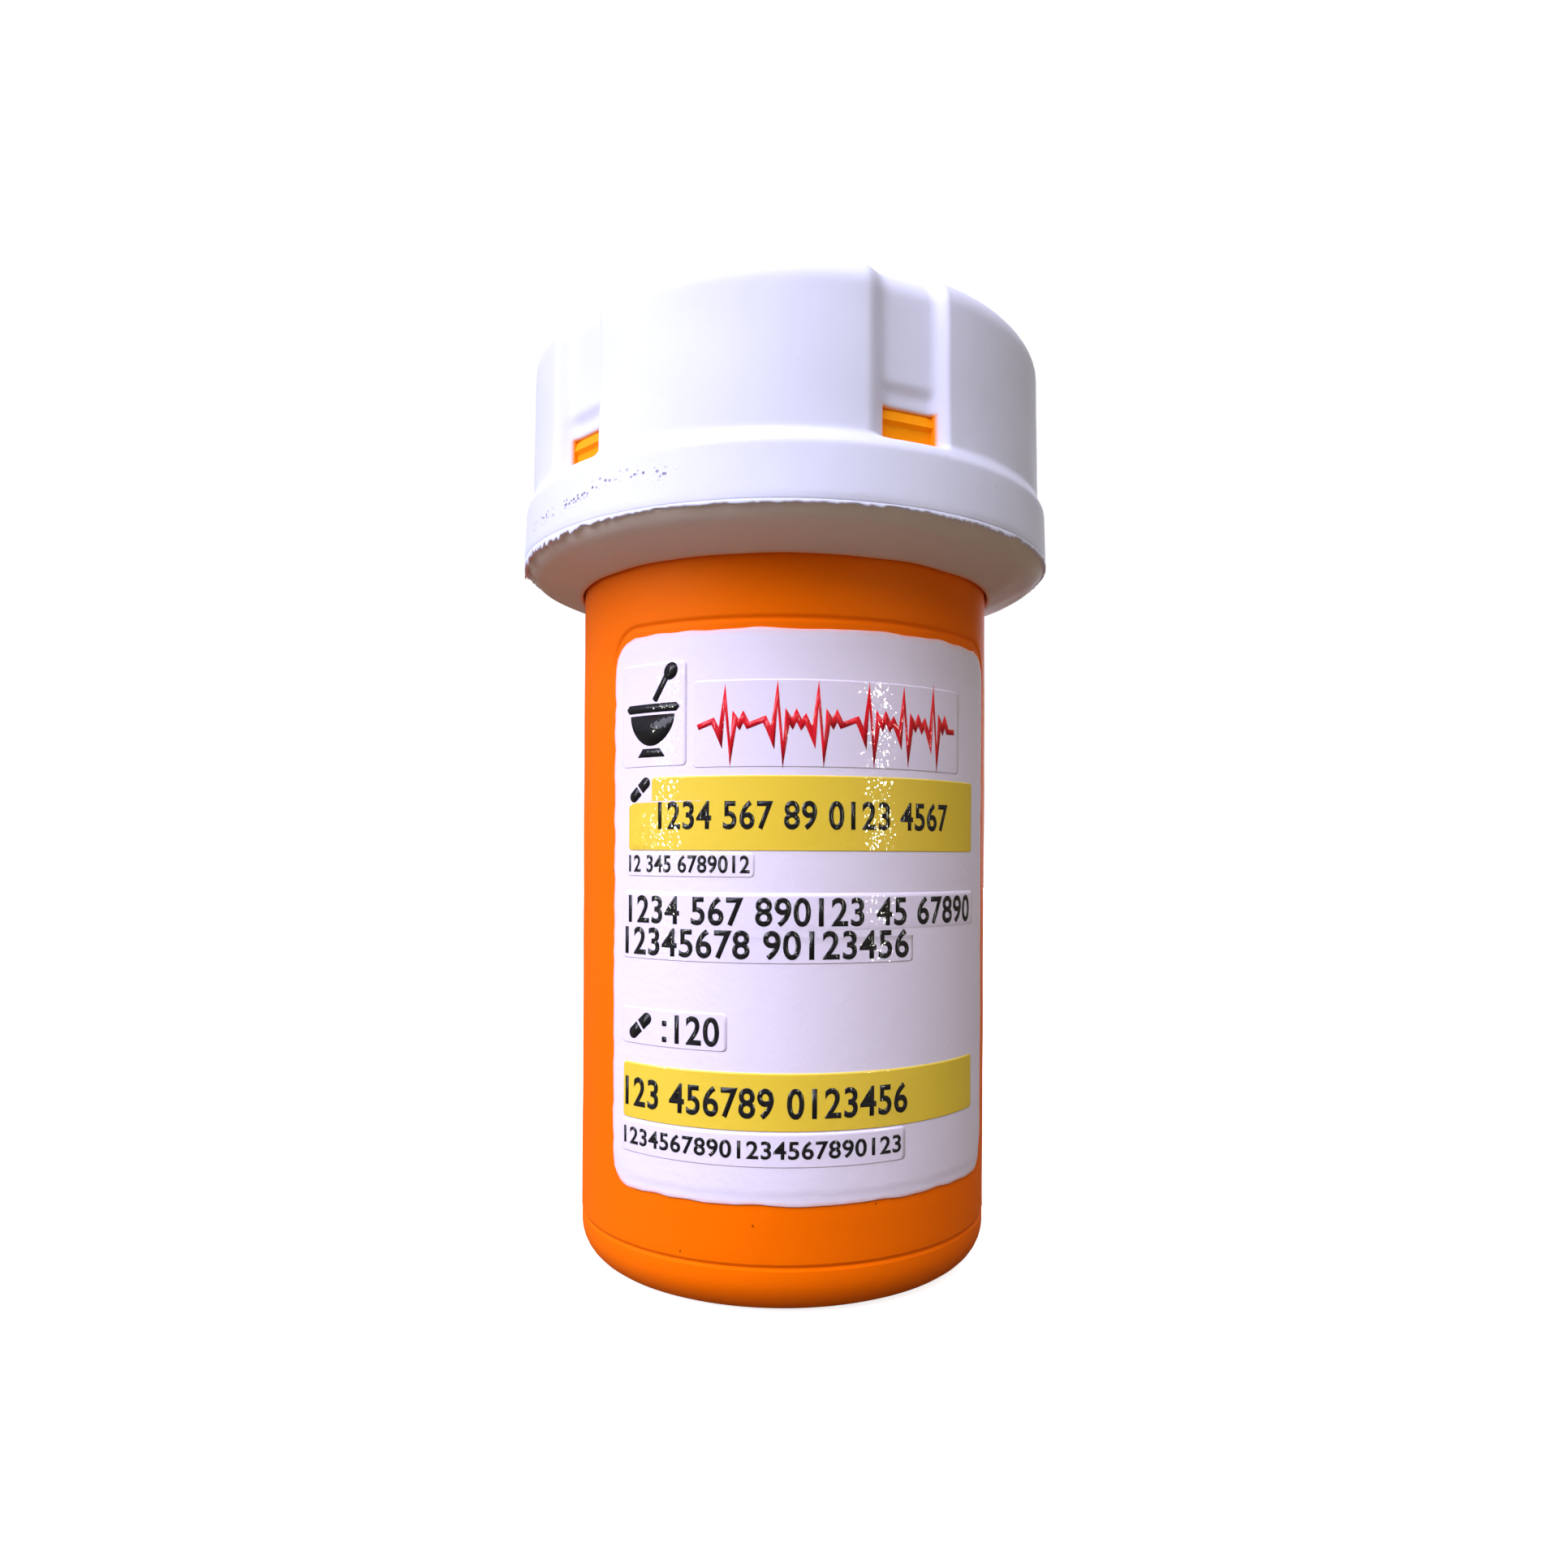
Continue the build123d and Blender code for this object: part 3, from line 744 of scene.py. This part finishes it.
    def fluted(self, radius, height, bearing):
        """Radius of the wall with its flutes, which stop above the band, and a step above each window."""
        step = self.sizes.window_step * smooth(66.3 * MM, 65.3 * MM, height)
        on_left = near_lug(bearing) < 0
        slope, half = np.where(on_left, 1.25, 0.6), np.where(on_left, 2.3 * MM, 2.1 * MM)
        trough = self.trough(bearing, FLUTE_FLOOR_R, half, slope, 0.55 * MM, step)
        cut = radius - soft_min(np.full_like(bearing, radius), trough, self.sizes.flute_blend)
        return (radius - cut * smooth(61.6 * MM, 62.05 * MM, height))[0]

    def back_depth(self, radius, height, bearing):
        """How far the inside bulges inwards behind each flute."""
        if radius < HOLDER_R or height < 60.9 * MM:
            return np.zeros_like(bearing)[0]
        trough = self.trough(bearing, 19.4 * MM, 3.6 * MM, 0.27, 0.2 * MM)
        bulge = np.maximum(INNER_WALL_R - np.minimum(INNER_WALL_R, trough), 0)
        return (bulge * smooth(HOLDER_R, 20.0 * MM, radius))[0]


class VIAL_OT_skirt_ring(bpy.types.Operator):
    """Build the ring that closes the underside of the cap, and the ragged flash along the seam"""

    bl_idname = "vial.skirt_ring"
    bl_label = "Skirt ring and seam"

    def execute(self, context):
        require("skirt_ring")
        sizes, colours = context.scene.cap_sizes, context.scene.vial_colours
        lip, seat = 17.36 * MM, SEAM_Z - 0.03 * MM
        profile = rounded([
            (17.55 * MM, 56.3 * MM), (lip, UNDERSIDE_Z + 0.5 * MM, 0.1 * MM), (lip, UNDERSIDE_Z, 0.16 * MM),
            (21.4 * MM, UNDERSIDE_Z + 1.45 * MM, 2.0 * MM), (22.14 * MM, seat), (20.85 * MM, seat),
            (20.85 * MM, 59.3 * MM, 0.2 * MM), (19.75 * MM, 59.3 * MM, 0.2 * MM),
            (19.75 * MM, 56.3 * MM, 0.3 * MM), (17.55 * MM, 56.3 * MM)], 0.35 * MM)[:-1]
        bearing = stations(-pi, pi, radians(1))[:-1][None, :]
        radius, height = profile[:, :1], profile[:, 1:]
        hang = ripple(bearing * radius, height, 5 * MM, seed=21) * 0.03 * MM
        low = height < 56 * MM
        points = turned(radius, height + np.where(low, hang, 0), bearing)
        faces = looped_faces(len(profile), bearing.size)
        overspray = smooth(0.55 * MM, 0, radius - lip) * np.where(low, 0.55, 0) * (1 + 0 * bearing)
        # The underside's colour is the cap's white with painted shade and warm bounce light.
        material = cap_polypropylene("white polypropylene underside with painted bounce", colours.underside,
                                     colours.ring)
        piece = add_piece("skirt_moulding", points, faces, "cap", material,
                          values={"overspray": overspray, "pits": 0 * overspray})
        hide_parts("skirt_ring")
        self.flash(sizes, colours)
        return {"FINISHED"}

    @staticmethod
    def flash(sizes, colours):
        """Thin broken fin of plastic that hangs from the seam, longest on the left."""
        bearing = stations(-pi, pi, radians(0.25))[:-1]
        coarse, fine = jagged(bearing, radians(4), seed=31), jagged(bearing, radians(0.7), seed=32)
        on_left = smooth(radians(-25), radians(-60), bearing) * smooth(radians(-92), radians(-76), bearing)
        rough = 0.22 + 0.9 * on_left + 0.25 * jagged(bearing, radians(30), seed=33)
        drop = sizes.flash_drop * (0.08 + rough * (0.75 * coarse + 0.9 * fine))
        section = [(22.16, 0.12, 0), (22.25, 0.05, 0.05), (22.245, 0, 0.8), (22.22, 0, 1), (22.12, 0, 0.97),
                   (21.95, -0.15, 0)]
        rows = [turned(r * MM, SEAM_Z + z * MM - hang * drop, bearing) for r, z, hang in section]
        points = np.stack(rows[::-1])
        faces = grid_faces(len(section), len(bearing), closed=True)
        material = cap_polypropylene("white polypropylene flash", colours.cap, colours.vial)
        none = np.zeros(points.shape[:2])
        add_piece("seam_flash", points, faces, "cap", material,
                  values={"overspray": none, "pits": none})


class VIAL_OT_inner_parts(bpy.types.Operator):
    """Finish the bayonet ring and the sealing wad, whose CAD shapes stay, and build the spring disc"""

    bl_idname = "vial.inner_parts"
    bl_label = "Inner parts"

    def execute(self, context):
        require("bayonet_ring", "seal_wad", "spring_disc")
        colours = context.scene.vial_colours
        finishes = {
            "bayonet_ring": moulded_polypropylene("orange moulded polypropylene ring", colours.ring)[0],
            "seal_wad": foamed_polyethylene("foamed polyethylene wad", colours.wad),
        }
        for node, material in finishes.items():
            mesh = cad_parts[node].data
            mesh.materials.clear()
            mesh.materials.append(material)
        self.spring(colours)
        return {"FINISHED"}

    @staticmethod
    def spring(colours):
        """Dished disc that stays on the wad; the real disc flattens as the cap is pressed down, but this
        mesh keeps its dish.
        """
        box_low, box_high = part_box("spring_disc")
        low, high, rim, hub, land, thick = box_low.z, box_high.z, box_high.x, 5.0 * MM, 1.5 * MM, 0.7 * MM
        soft = 0.2 * MM
        profile = rounded([
            (hub - land, high - thick / 2), (hub - land, high, soft), (hub, high, soft),
            (rim - land, low + thick, soft), (rim, low + thick, soft), (rim, low, soft),
            (rim - land, low, soft), (hub, high - thick, soft), (hub - land, high - thick, soft),
            (hub - land, high - thick / 2)], 0.8 * MM)[:-1]
        bearing = stations(-pi, pi, radians(3))[:-1][None, :]
        faces = [face[::-1] for face in looped_faces(len(profile), bearing.size)]
        piece = add_piece("spring_moulding", turned(profile[:, :1], profile[:, 1:], bearing), faces, "wad",
                          natural_polyethylene("natural polyethylene spring", colours.spring))
        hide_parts("spring_disc")
        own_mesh(piece)


def strip_grid(left, right, low, high, corner, step):
    """Flat grid over a rounded rectangle, finer at its edges: points, faces and distances inwards."""
    def gap_from(first, last):
        return lambda value: max(0.06 * MM, min(step, 0.5 * min(value - first, last - value) + 0.06 * MM))

    ups = stations(low, high, gap_from(low, high))
    wide = right - left
    overs = stations(0, 1, lambda share: gap_from(left, right)(left + share * wide) / wide)
    middle, half, tall = (left + right) / 2, (right - left) / 2, (high - low) / 2
    rise = np.maximum(np.abs(ups - (low + high) / 2) - (tall - corner), 0)
    reach = half - corner + np.sqrt(np.maximum(corner ** 2 - rise ** 2, 0))
    across = (2 * overs[None, :] - 1) * reach[:, None]
    up = np.broadcast_to(ups[:, None], across.shape)
    inside = outline_distance(across, up - (low + high) / 2, half, tall, corner)
    flat = np.stack([across + middle, up], axis=-1).reshape(-1, 2)
    return flat, grid_faces(*across.shape, closed=False), np.maximum(inside, 0).ravel()


class VIAL_OT_label(bpy.types.Operator):
    """Build the white label: a rounded sheet wrapped part of the way round, with a slightly frayed edge"""

    bl_idname = "vial.label"
    bl_label = "Label"

    def execute(self, context):
        require("label")
        sizes, colours = context.scene.label_sizes, context.scene.vial_colours
        first, last = bearing_span("label")
        flat, faces, inside = strip_grid(first * FOOT_R, last * FOOT_R, LABEL_BOX[0].z, LABEL_BOX[1].z,
                                         sizes.label_corner, 0.7 * MM)
        fray = sizes.label_fray * smooth(0.5 * MM, 0, inside)
        flat[:, 0] += fray * ripple(flat[:, 1], 0, 1.6 * MM, seed=41)
        flat[:, 1] += fray * ripple(flat[:, 0], 0, 1.6 * MM, seed=42)
        high = LABEL_LIFT * (0.5 + 0.5 * smooth(0, 0.5 * MM, inside))
        patchy = 0.7 + 0.3 * ripple(flat[:, 0], flat[:, 1], 1.2 * MM, seed=43)
        edge = smooth(0.34 * MM, 0.0, inside) * patchy * 0.75
        material = coated_paper("matt coated paper", colours.label, linear("#FFA88C"))
        piece = add_sheet("label_sheet", flat, faces, 0, high, context.scene.vial_sizes,
                          material, {"edge": edge})
        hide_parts("label")
        return {"FINISHED"}


class VIAL_OT_films(bpy.types.Operator):
    """Build the film strips stuck on the label: six clear and two yellow"""

    bl_idname = "vial.films"
    bl_label = "Film strips"

    def execute(self, context):
        require(*FILMS)
        sizes, colours = context.scene.label_sizes, context.scene.vial_colours
        # The yellow film's paler edge colour is a painted highlight along each strip's cut edge.
        clear = polyester_film("clear polyester film", colours.film, linear("#EDE4FA"))
        yellow = polyester_film("yellow polyester film", colours.band, linear("#F2E890"))
        for node in FILMS:
            is_band = "band" in node
            box_low, box_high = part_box(node)
            first, last = (side * FOOT_R for side in bearing_span(node))
            flat, faces, inside = strip_grid(first, last, box_low.z, box_high.z, sizes.film_corner,
                                             0.2 * MM if node == "film_band_upper" else 0.6 * MM)
            self.narrow(node, flat, first, last, box_low.z, box_high.z)
            lift = np.full(len(flat), FILM_LIFT)
            if node == "film_band_upper":
                lift += self.creases(flat, first, box_low.z, sizes.crease_height)
            # Thin rim that takes the edge colour: a painted highlight on the yellow strips.
            edge = smooth(0.08 * MM, 0, inside) * 0.3
            piece = add_sheet(node.replace("film_", "strip_"), flat, faces, LABEL_LIFT, lift,
                              context.scene.vial_sizes,
                              yellow if is_band else clear, {"edge": edge})
            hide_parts(node)
        return {"FINISHED"}

    @staticmethod
    def narrow(node, flat, first, last, low, high):
        """Shape the two uneven strips: the upper band is notched above, the directions end short below."""
        share = (flat[:, 0] - first) / (last - first)
        up = (flat[:, 1] - low) / (high - low)
        if node == "film_band_upper":
            notch = radians(8) * FOOT_R * smooth(0.64, 0.66, up)
            flat[:, 0] = first + notch + share * (last - first - notch)
        if node == "film_directions":
            short = radians(26) * FOOT_R * smooth(0.49, 0.47, up)
            flat[:, 0] = first + share * (last - first - short)

    @staticmethod
    def creases(flat, first, low, height):
        """Sharp creases that lean to the right at the left end of the upper band."""
        total = 0
        for start, lean, tall in ((0.5, 1.1, 3.0), (1.1, 0.55, 2.6), (1.6, 0.8, 3.1), (2.15, 0.3, 2.2)):
            up = (flat[:, 1] - low) / MM
            line = start + lean * up / tall
            off = (flat[:, 0] - first) / MM - line
            fade = smooth(0, 0.3, up) * smooth(tall, tall - 0.8, up)
            total = total + height * fade * np.exp(-(off / 0.11) ** 2)
        return total


def flat_shapes(polygons):
    """Points and faces of flat polygons, cut every half millimetre so that they bend with the wall."""
    bm = bmesh.new()
    for polygon in polygons:
        area = sum(a[0] * b[1] - b[0] * a[1] for a, b in zip(polygon, polygon[1:] + polygon[:1]))
        ring = polygon if area > 0 else polygon[::-1]
        bm.faces.new([bm.verts.new((x, y, 0)) for x, y in ring])
    bmesh.ops.remove_doubles(bm, verts=bm.verts, dist=1e-6)
    across = [v.co.x for v in bm.verts]
    for x in stations(min(across), max(across), 0.5 * MM)[1:-1]:
        everything = bm.verts[:] + bm.edges[:] + bm.faces[:]
        bmesh.ops.bisect_plane(bm, geom=everything, plane_co=(x, 0, 0), plane_no=(1, 0, 0))
    bm.verts.index_update()
    flat = [(v.co.x, v.co.y) for v in bm.verts]
    faces = [tuple(v.index for v in face.verts) for face in bm.faces]
    bm.free()
    return flat, faces


def bar(left, low, right, high, clip):
    """Upright bar with its corners clipped."""
    return [(left + clip, low), (right - clip, low), (right, low + clip), (right, high - clip),
            (right - clip, high), (left + clip, high), (left, high - clip), (left, low + clip)]


def moved(polygon, turn, x, y):
    """A polygon turned about the origin and then moved."""
    return [(px * cos(turn) - py * sin(turn) + x, px * sin(turn) + py * cos(turn) + y) for px, py in polygon]


def stroke(points, width):
    """Quads along a broken line, mitred at its corners, so that its peaks are sharp."""
    line = np.array(points)
    along = np.diff(line, axis=0)
    along /= np.linalg.norm(along, axis=1)[:, None]
    before, after = np.vstack([along[:1], along]), np.vstack([along, along[-1:]])
    middle = before + after
    middle /= np.linalg.norm(middle, axis=1)[:, None]
    out = np.stack([-middle[:, 1], middle[:, 0]], axis=1)
    across = np.stack([-after[:, 1], after[:, 0]], axis=1)
    sharpest = 0.22                                                # keeps the mitre of a narrow peak short
    reach = width / 2 / np.maximum(np.sum(out * across, axis=1), sharpest)
    left, right = line + out * reach[:, None], line - out * reach[:, None]
    return [[tuple(right[k]), tuple(right[k + 1]), tuple(left[k + 1]), tuple(left[k])]
            for k in range(len(line) - 1)]


def number(digits, width, height):
    """Flat polygons of generic figures, from Blender's own font, made bold and narrow."""
    writing = bpy.data.curves.new("number", "FONT")
    writing.body, writing.size, writing.offset, writing.space_character = digits, 1.0, 0.02, 1.06
    holder = bpy.data.objects.new("number", writing)
    mesh = bpy.data.meshes.new_from_object(holder)
    points = np.array([v.co[:2] for v in mesh.vertices])
    points -= points.min(axis=0)
    points *= np.array([width, height]) / points.max(axis=0)
    polygons = [[tuple(points[k]) for k in face.vertices] for face in mesh.polygons]
    bpy.data.objects.remove(holder)
    bpy.data.meshes.remove(mesh)
    bpy.data.curves.remove(writing)
    return polygons


def filler(groups):
    """Figures counting up from 1, in groups as long as the words that they stand for."""
    counting = iter("1234567890" * 4)
    return " ".join("".join(next(counting) for _ in range(count)) for count in groups)


def mortar_and_pestle(width, height):
    """Emblem: a footed bowl under a rim, with a pestle leaning in it."""
    rim = bar(0, 0.52 * height, width, 0.62 * height, 0.04 * height)
    depth, half = 0.36 * height, 0.42 * width
    arc = [radians(180 + 7.5 * k) for k in range(25)]
    bowl = [(width / 2 + half * cos(a) * (1 - 0.12 * sin(a) ** 2), 0.49 * height + depth * sin(a))
            for a in arc]
    foot = [(0.24 * width, 0), (0.76 * width, 0), (0.66 * width, 0.1 * height), (0.34 * width, 0.1 * height)]
    grip = 0.09 * width
    shaft = bar(-0.55 * grip, 0, 0.55 * grip, 0.36 * height, 0.2 * grip)
    knob = [(1.25 * grip * cos(radians(15 * k)), 0.38 * height + 1.5 * grip * sin(radians(15 * k)))
            for k in range(24)]
    lean, x = radians(-32), 0.56 * width
    pestle = [moved(shaft, lean, x, 0.65 * height), moved(knob, lean, x + 0.4 * grip, 0.66 * height)]
    return [rim, bowl, foot] + pestle


def capsule(size):
    """Small mark: a capsule in two halves, leaning to the right."""
    half, gap = 0.2 * size, 0.045 * size
    arc = [radians(90 + 15 * k) for k in range(13)]
    end = [(-gap, -half), (-gap, half)] + [(-0.4 * size + half * cos(a), half * sin(a)) for a in arc]
    return [moved(end, radians(40) + turn, size / 2, size / 2) for turn in (0, pi)]


def pulse_line(width, height, beats):
    """A heart's trace: beats gives how many close beats there are in each group."""
    beat = ((0.0, 0.0), (0.1, 0.10), (0.2, -0.04), (0.3, -0.2), (0.42, 0.52), (0.55, -0.48), (0.66, 0.14),
            (0.78, 0.02), (0.88, 0.16), (1.0, 0.0))
    rest = 0.3
    pace = width / (sum(beats) + rest * (len(beats) + 1))
    pick = np.random.default_rng(61)
    line, x = [(0, 0)], rest * pace
    for group in beats:
        for _ in range(group):
            tall = height * pick.uniform(0.8, 1.0)
            line += [(x + across * pace, up * tall) for across, up in beat[1:]]
            x += pace
        x += rest * pace
    line.append((width, 0))
    rise = 0.012
    return stroke([(x, y + rise * x) for x, y in line], 0.42 * MM)


# Lines of print: the strip; distance from its left end and foot, width and height in millimetres; and
# the lengths of the groups of figures
LINES = (
    ("film_band_upper", 2.95, 1.5, 23.2, 2.1, (4, 3, 2, 4, 4)),
    ("film_item", 0.2, 0.27, 10.1, 1.3, (2, 3, 7)),
    ("film_directions", 0.62, 2.6, 29.4, 2.1, (4, 3, 6, 2, 5)),
    ("film_directions", 0.26, 0.25, 22.4, 2.1, (8, 8)),
    ("film_band_lower", 0.24, 0.85, 22.2, 2.2, (3, 6, 7)),
    ("film_footer", 0.24, 0.55, 21.8, 1.3, (23,)),
)


class VIAL_OT_print(bpy.types.Operator):
    """Build the print: counting figures in place of words, an emblem, a capsule and a pulse line"""

    bl_idname = "vial.print"
    bl_label = "Print"

    def execute(self, context):
        require(*FILMS)
        sizes, colours = context.scene.label_sizes, context.scene.vial_colours
        black = printed_ink("black toner under film", colours.ink)
        red = printed_ink("red toner under film", colours.mark)
        shapes = {}
        for node, left, low, width, height, groups in LINES:
            figures = number(filler(groups), width * MM, height * MM)
            shapes.setdefault(node, []).extend(moved(p, 0, left * MM, low * MM) for p in figures)
        pill = [moved(p, 0, 0.8 * MM, 0.25 * MM) for p in capsule(2.2 * MM)]
        dots = [bar(4.0 * MM, y * MM, 4.4 * MM, (y + 0.4) * MM, 0.05 * MM) for y in (0.35, 1.5)]
        digits = [moved(p, 0, 5.1 * MM, 0.3 * MM) for p in number("120", 3.5 * MM, 2.1 * MM)]
        shapes["film_quantity"] = pill + dots + digits
        emblem = mortar_and_pestle(5.0 * MM, 6.4 * MM)
        shapes["film_emblem"] = [moved(p, 0, 0.5 * MM, 0.7 * MM) for p in emblem]
        shapes["film_band_upper"] += [moved(p, 0, 0.15 * MM, 3.5 * MM) for p in capsule(2.0 * MM)]
        for node, polygons in shapes.items():
            self.lay(node, node.replace("film_", "print_"), polygons, black, sizes, context)
        pulse = [moved(p, 0, 0.35 * MM, 2.9 * MM) for p in pulse_line(20.7 * MM, 4.7 * MM, (1, 2, 3))]
        self.lay("film_name", "print_pulse", pulse, red, sizes, context)
        return {"FINISHED"}

    @staticmethod
    def lay(node, name, polygons, ink, sizes, context):
        """Prints polygons on a strip; they are placed from its lower left corner."""
        left, low = bearing_span(node)[0] * FOOT_R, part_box(node)[0].z
        flat, faces = flat_shapes([moved(p, 0, left, low) for p in polygons])
        add_sheet(name, flat, faces, FILM_LIFT - 0.01 * MM, FILM_LIFT + sizes.ink_thickness,
                  context.scene.vial_sizes, ink)


class VIAL_OT_stage(bpy.types.Operator):
    """Set up the floor, the softboxes, the room light and the camera"""

    bl_idname = "vial.stage"
    bl_label = "Stage"

    def execute(self, context):
        settings, colours = context.scene.stage_settings, context.scene.vial_colours
        self.floor(settings, colours)
        aim = Vector((0, 0, TOP_Z / 2))
        cool = (0.8, 0.81, 1.0)
        self.light("key softbox", settings.key, cool, -56, 40, 1.0, (0.9, 0.9), aim)
        self.light("front fill", settings.fill, cool, 12, 62, 1.0, (0.9, 0.9), aim)
        self.light("back fill", settings.back, cool, 165, 10, 1.0, (0.6, 0.6), aim)
        for name, bearing, width in (("right strip", 51, 0.01), ("left strip", -64, 0.008)):
            strip = self.light(name, settings.strips, (1, 1, 0.85), bearing, 4, 0.3, (width, 0.3), aim)
            strip.visible_diffuse = False
        self.room(settings)
        self.camera(context.scene, settings)
        context.scene.view_settings.view_transform = "Standard"
        return {"FINISHED"}

    @staticmethod
    def floor(settings, colours):
        """Large pale board: bright to the eye, with the vial's shadow, but it throws up little light."""
        material, tree, shader, where = start_material("painted board", roughness=0.85)
        seen = add_node(tree, "ShaderNodeLightPath").outputs["Is Camera Ray"]
        pale = mottle(tree, where, 80 * MM, colours.floor, 0.01)
        dim = four([settings.floor_bounce * share for share in (1, 0.82, 0.6)])
        tree.links.new(blend_by(tree, seen, dim, pale), shader.inputs["Base Color"])
        shader.inputs["Emission Color"].default_value = (1, 1, 1, 1)
        glow = add_node(tree, "ShaderNodeMath", {0: seen, 1: settings.floor_glow}, operation="MULTIPLY")
        tree.links.new(glow.outputs[0], shader.inputs["Emission Strength"])
        side = stations(-6, 6, 0.5)
        x, y = np.meshgrid(side, side)
        points = np.stack([x, y, 0 * x - 0.02 * MM], axis=-1).reshape(-1, 3)
        mesh = bpy.data.meshes.new("floor")
        mesh.from_pydata(points, [], grid_faces(len(side), len(side), closed=False))
        mesh.materials.append(material)
        board = bpy.data.objects.new("floor", mesh)
        bpy.context.scene.collection.objects.link(board)

    @staticmethod
    def light(name, power, tint, bearing, elevation, distance, size, aim):
        """Softbox at a bearing and elevation in degrees, turned to the vial."""
        lamp = bpy.data.lights.new(name, "AREA")
        lamp.shape, lamp.energy, lamp.color = "RECTANGLE", power, tint
        lamp.size, lamp.size_y = size
        holder = bpy.data.objects.new(name, lamp)
        flat, up = distance * cos(radians(elevation)), distance * sin(radians(elevation))
        bearing = radians(bearing)
        holder.location = aim + Vector((flat * sin(bearing), -flat * cos(bearing), up))
        holder.rotation_euler = (holder.location - aim).to_track_quat("Z", "Y").to_euler()
        holder.visible_camera = False
        bpy.context.scene.collection.objects.link(holder)
        return holder

    @staticmethod
    def room(settings):
        """White to the eye; lit all round, brighter overhead, cool on the left and warm on the right."""
        world = bpy.data.worlds.new("studio")
        bpy.context.scene.world = world
        world.use_nodes = True
        tree = world.node_tree
        tree.nodes.clear()
        seen = add_node(tree, "ShaderNodeLightPath").outputs["Is Camera Ray"]
        way = add_node(tree, "ShaderNodeSeparateXYZ", {
            0: add_node(tree, "ShaderNodeTexCoord").outputs["Generated"]})
        cool, warm = (0.84, 0.82, 1, 1), (1, 0.88, 0.5, 1)
        tone = blend_by(tree, stretch(tree, way.outputs["X"], -0.9, 0), cool, warm)
        rise = add_node(tree, "ShaderNodeMapRange", {"Value": way.outputs["Z"], "From Min": 0, "From Max": 1,
                                                     "To Min": settings.walls, "To Max": settings.ceiling})
        lit = add_node(tree, "ShaderNodeBackground", {"Color": tone, "Strength": rise.outputs[0]})
        white = add_node(tree, "ShaderNodeBackground", {"Color": (1, 1, 1, 1), "Strength": 1.05})
        both = add_node(tree, "ShaderNodeMixShader", {0: seen, 1: lit.outputs[0], 2: white.outputs[0]})
        add_node(tree, "ShaderNodeOutputWorld", {"Surface": both.outputs[0]})

    @staticmethod
    def camera(scene, settings):
        """Camera at a low height close in front, looking up a little."""
        lens = bpy.data.cameras.new("camera")
        lens.sensor_width, lens.lens = 36, settings.lens
        lens.shift_y = 0.014
        lens.clip_start = 1 * MM
        eye = bpy.data.objects.new("camera", lens)
        eye.location = (0, -settings.distance, settings.height)
        look = Euler((pi / 2 + settings.tilt, 0, 0)).to_matrix() @ Euler((0, 0, settings.roll)).to_matrix()
        eye.rotation_euler = look.to_euler()
        scene.collection.objects.link(eye)
        scene.camera = eye


class VIAL_PT_pieces(bpy.types.Panel):
    """The sidebar's list of pieces, sizes and colours"""

    bl_label = "Prescription vial"
    bl_space_type = "VIEW_3D"
    bl_region_type = "UI"
    bl_category = "Vial"

    def draw(self, context):
        for operator in OPERATORS:
            self.layout.operator(operator.bl_idname)
        for group in GROUPS:
            box = self.layout.box()
            box.label(text=group.__doc__)
            for key in group.__annotations__:
                box.prop(getattr(context.scene, GROUPS[group]), key)


GROUPS = {VialSizes: "vial_sizes", CapSizes: "cap_sizes", LabelSizes: "label_sizes",
          VialColours: "vial_colours", StageSettings: "stage_settings"}
OPERATORS = (VIAL_OT_body, VIAL_OT_cap_shell, VIAL_OT_skirt_ring, VIAL_OT_inner_parts,
             VIAL_OT_label, VIAL_OT_films, VIAL_OT_print, VIAL_OT_stage)


def register():
    for kind in (*GROUPS, *OPERATORS, VIAL_PT_pieces):
        bpy.utils.register_class(kind)
    for group, key in GROUPS.items():
        setattr(bpy.types.Scene, key, PointerProperty(type=group))


def unregister():
    for key in GROUPS.values():
        delattr(bpy.types.Scene, key)
    for kind in reversed((*GROUPS, *OPERATORS, VIAL_PT_pieces)):
        bpy.utils.unregister_class(kind)


def main():
    """Builds every piece and the stage."""
    register()
    bpy.ops.vial.body()
    bpy.ops.vial.cap_shell()
    bpy.ops.vial.skirt_ring()
    bpy.ops.vial.inner_parts()
    bpy.ops.vial.label()
    bpy.ops.vial.films()
    bpy.ops.vial.print()
    bpy.ops.vial.stage()


if __name__ == "__main__":
    main()
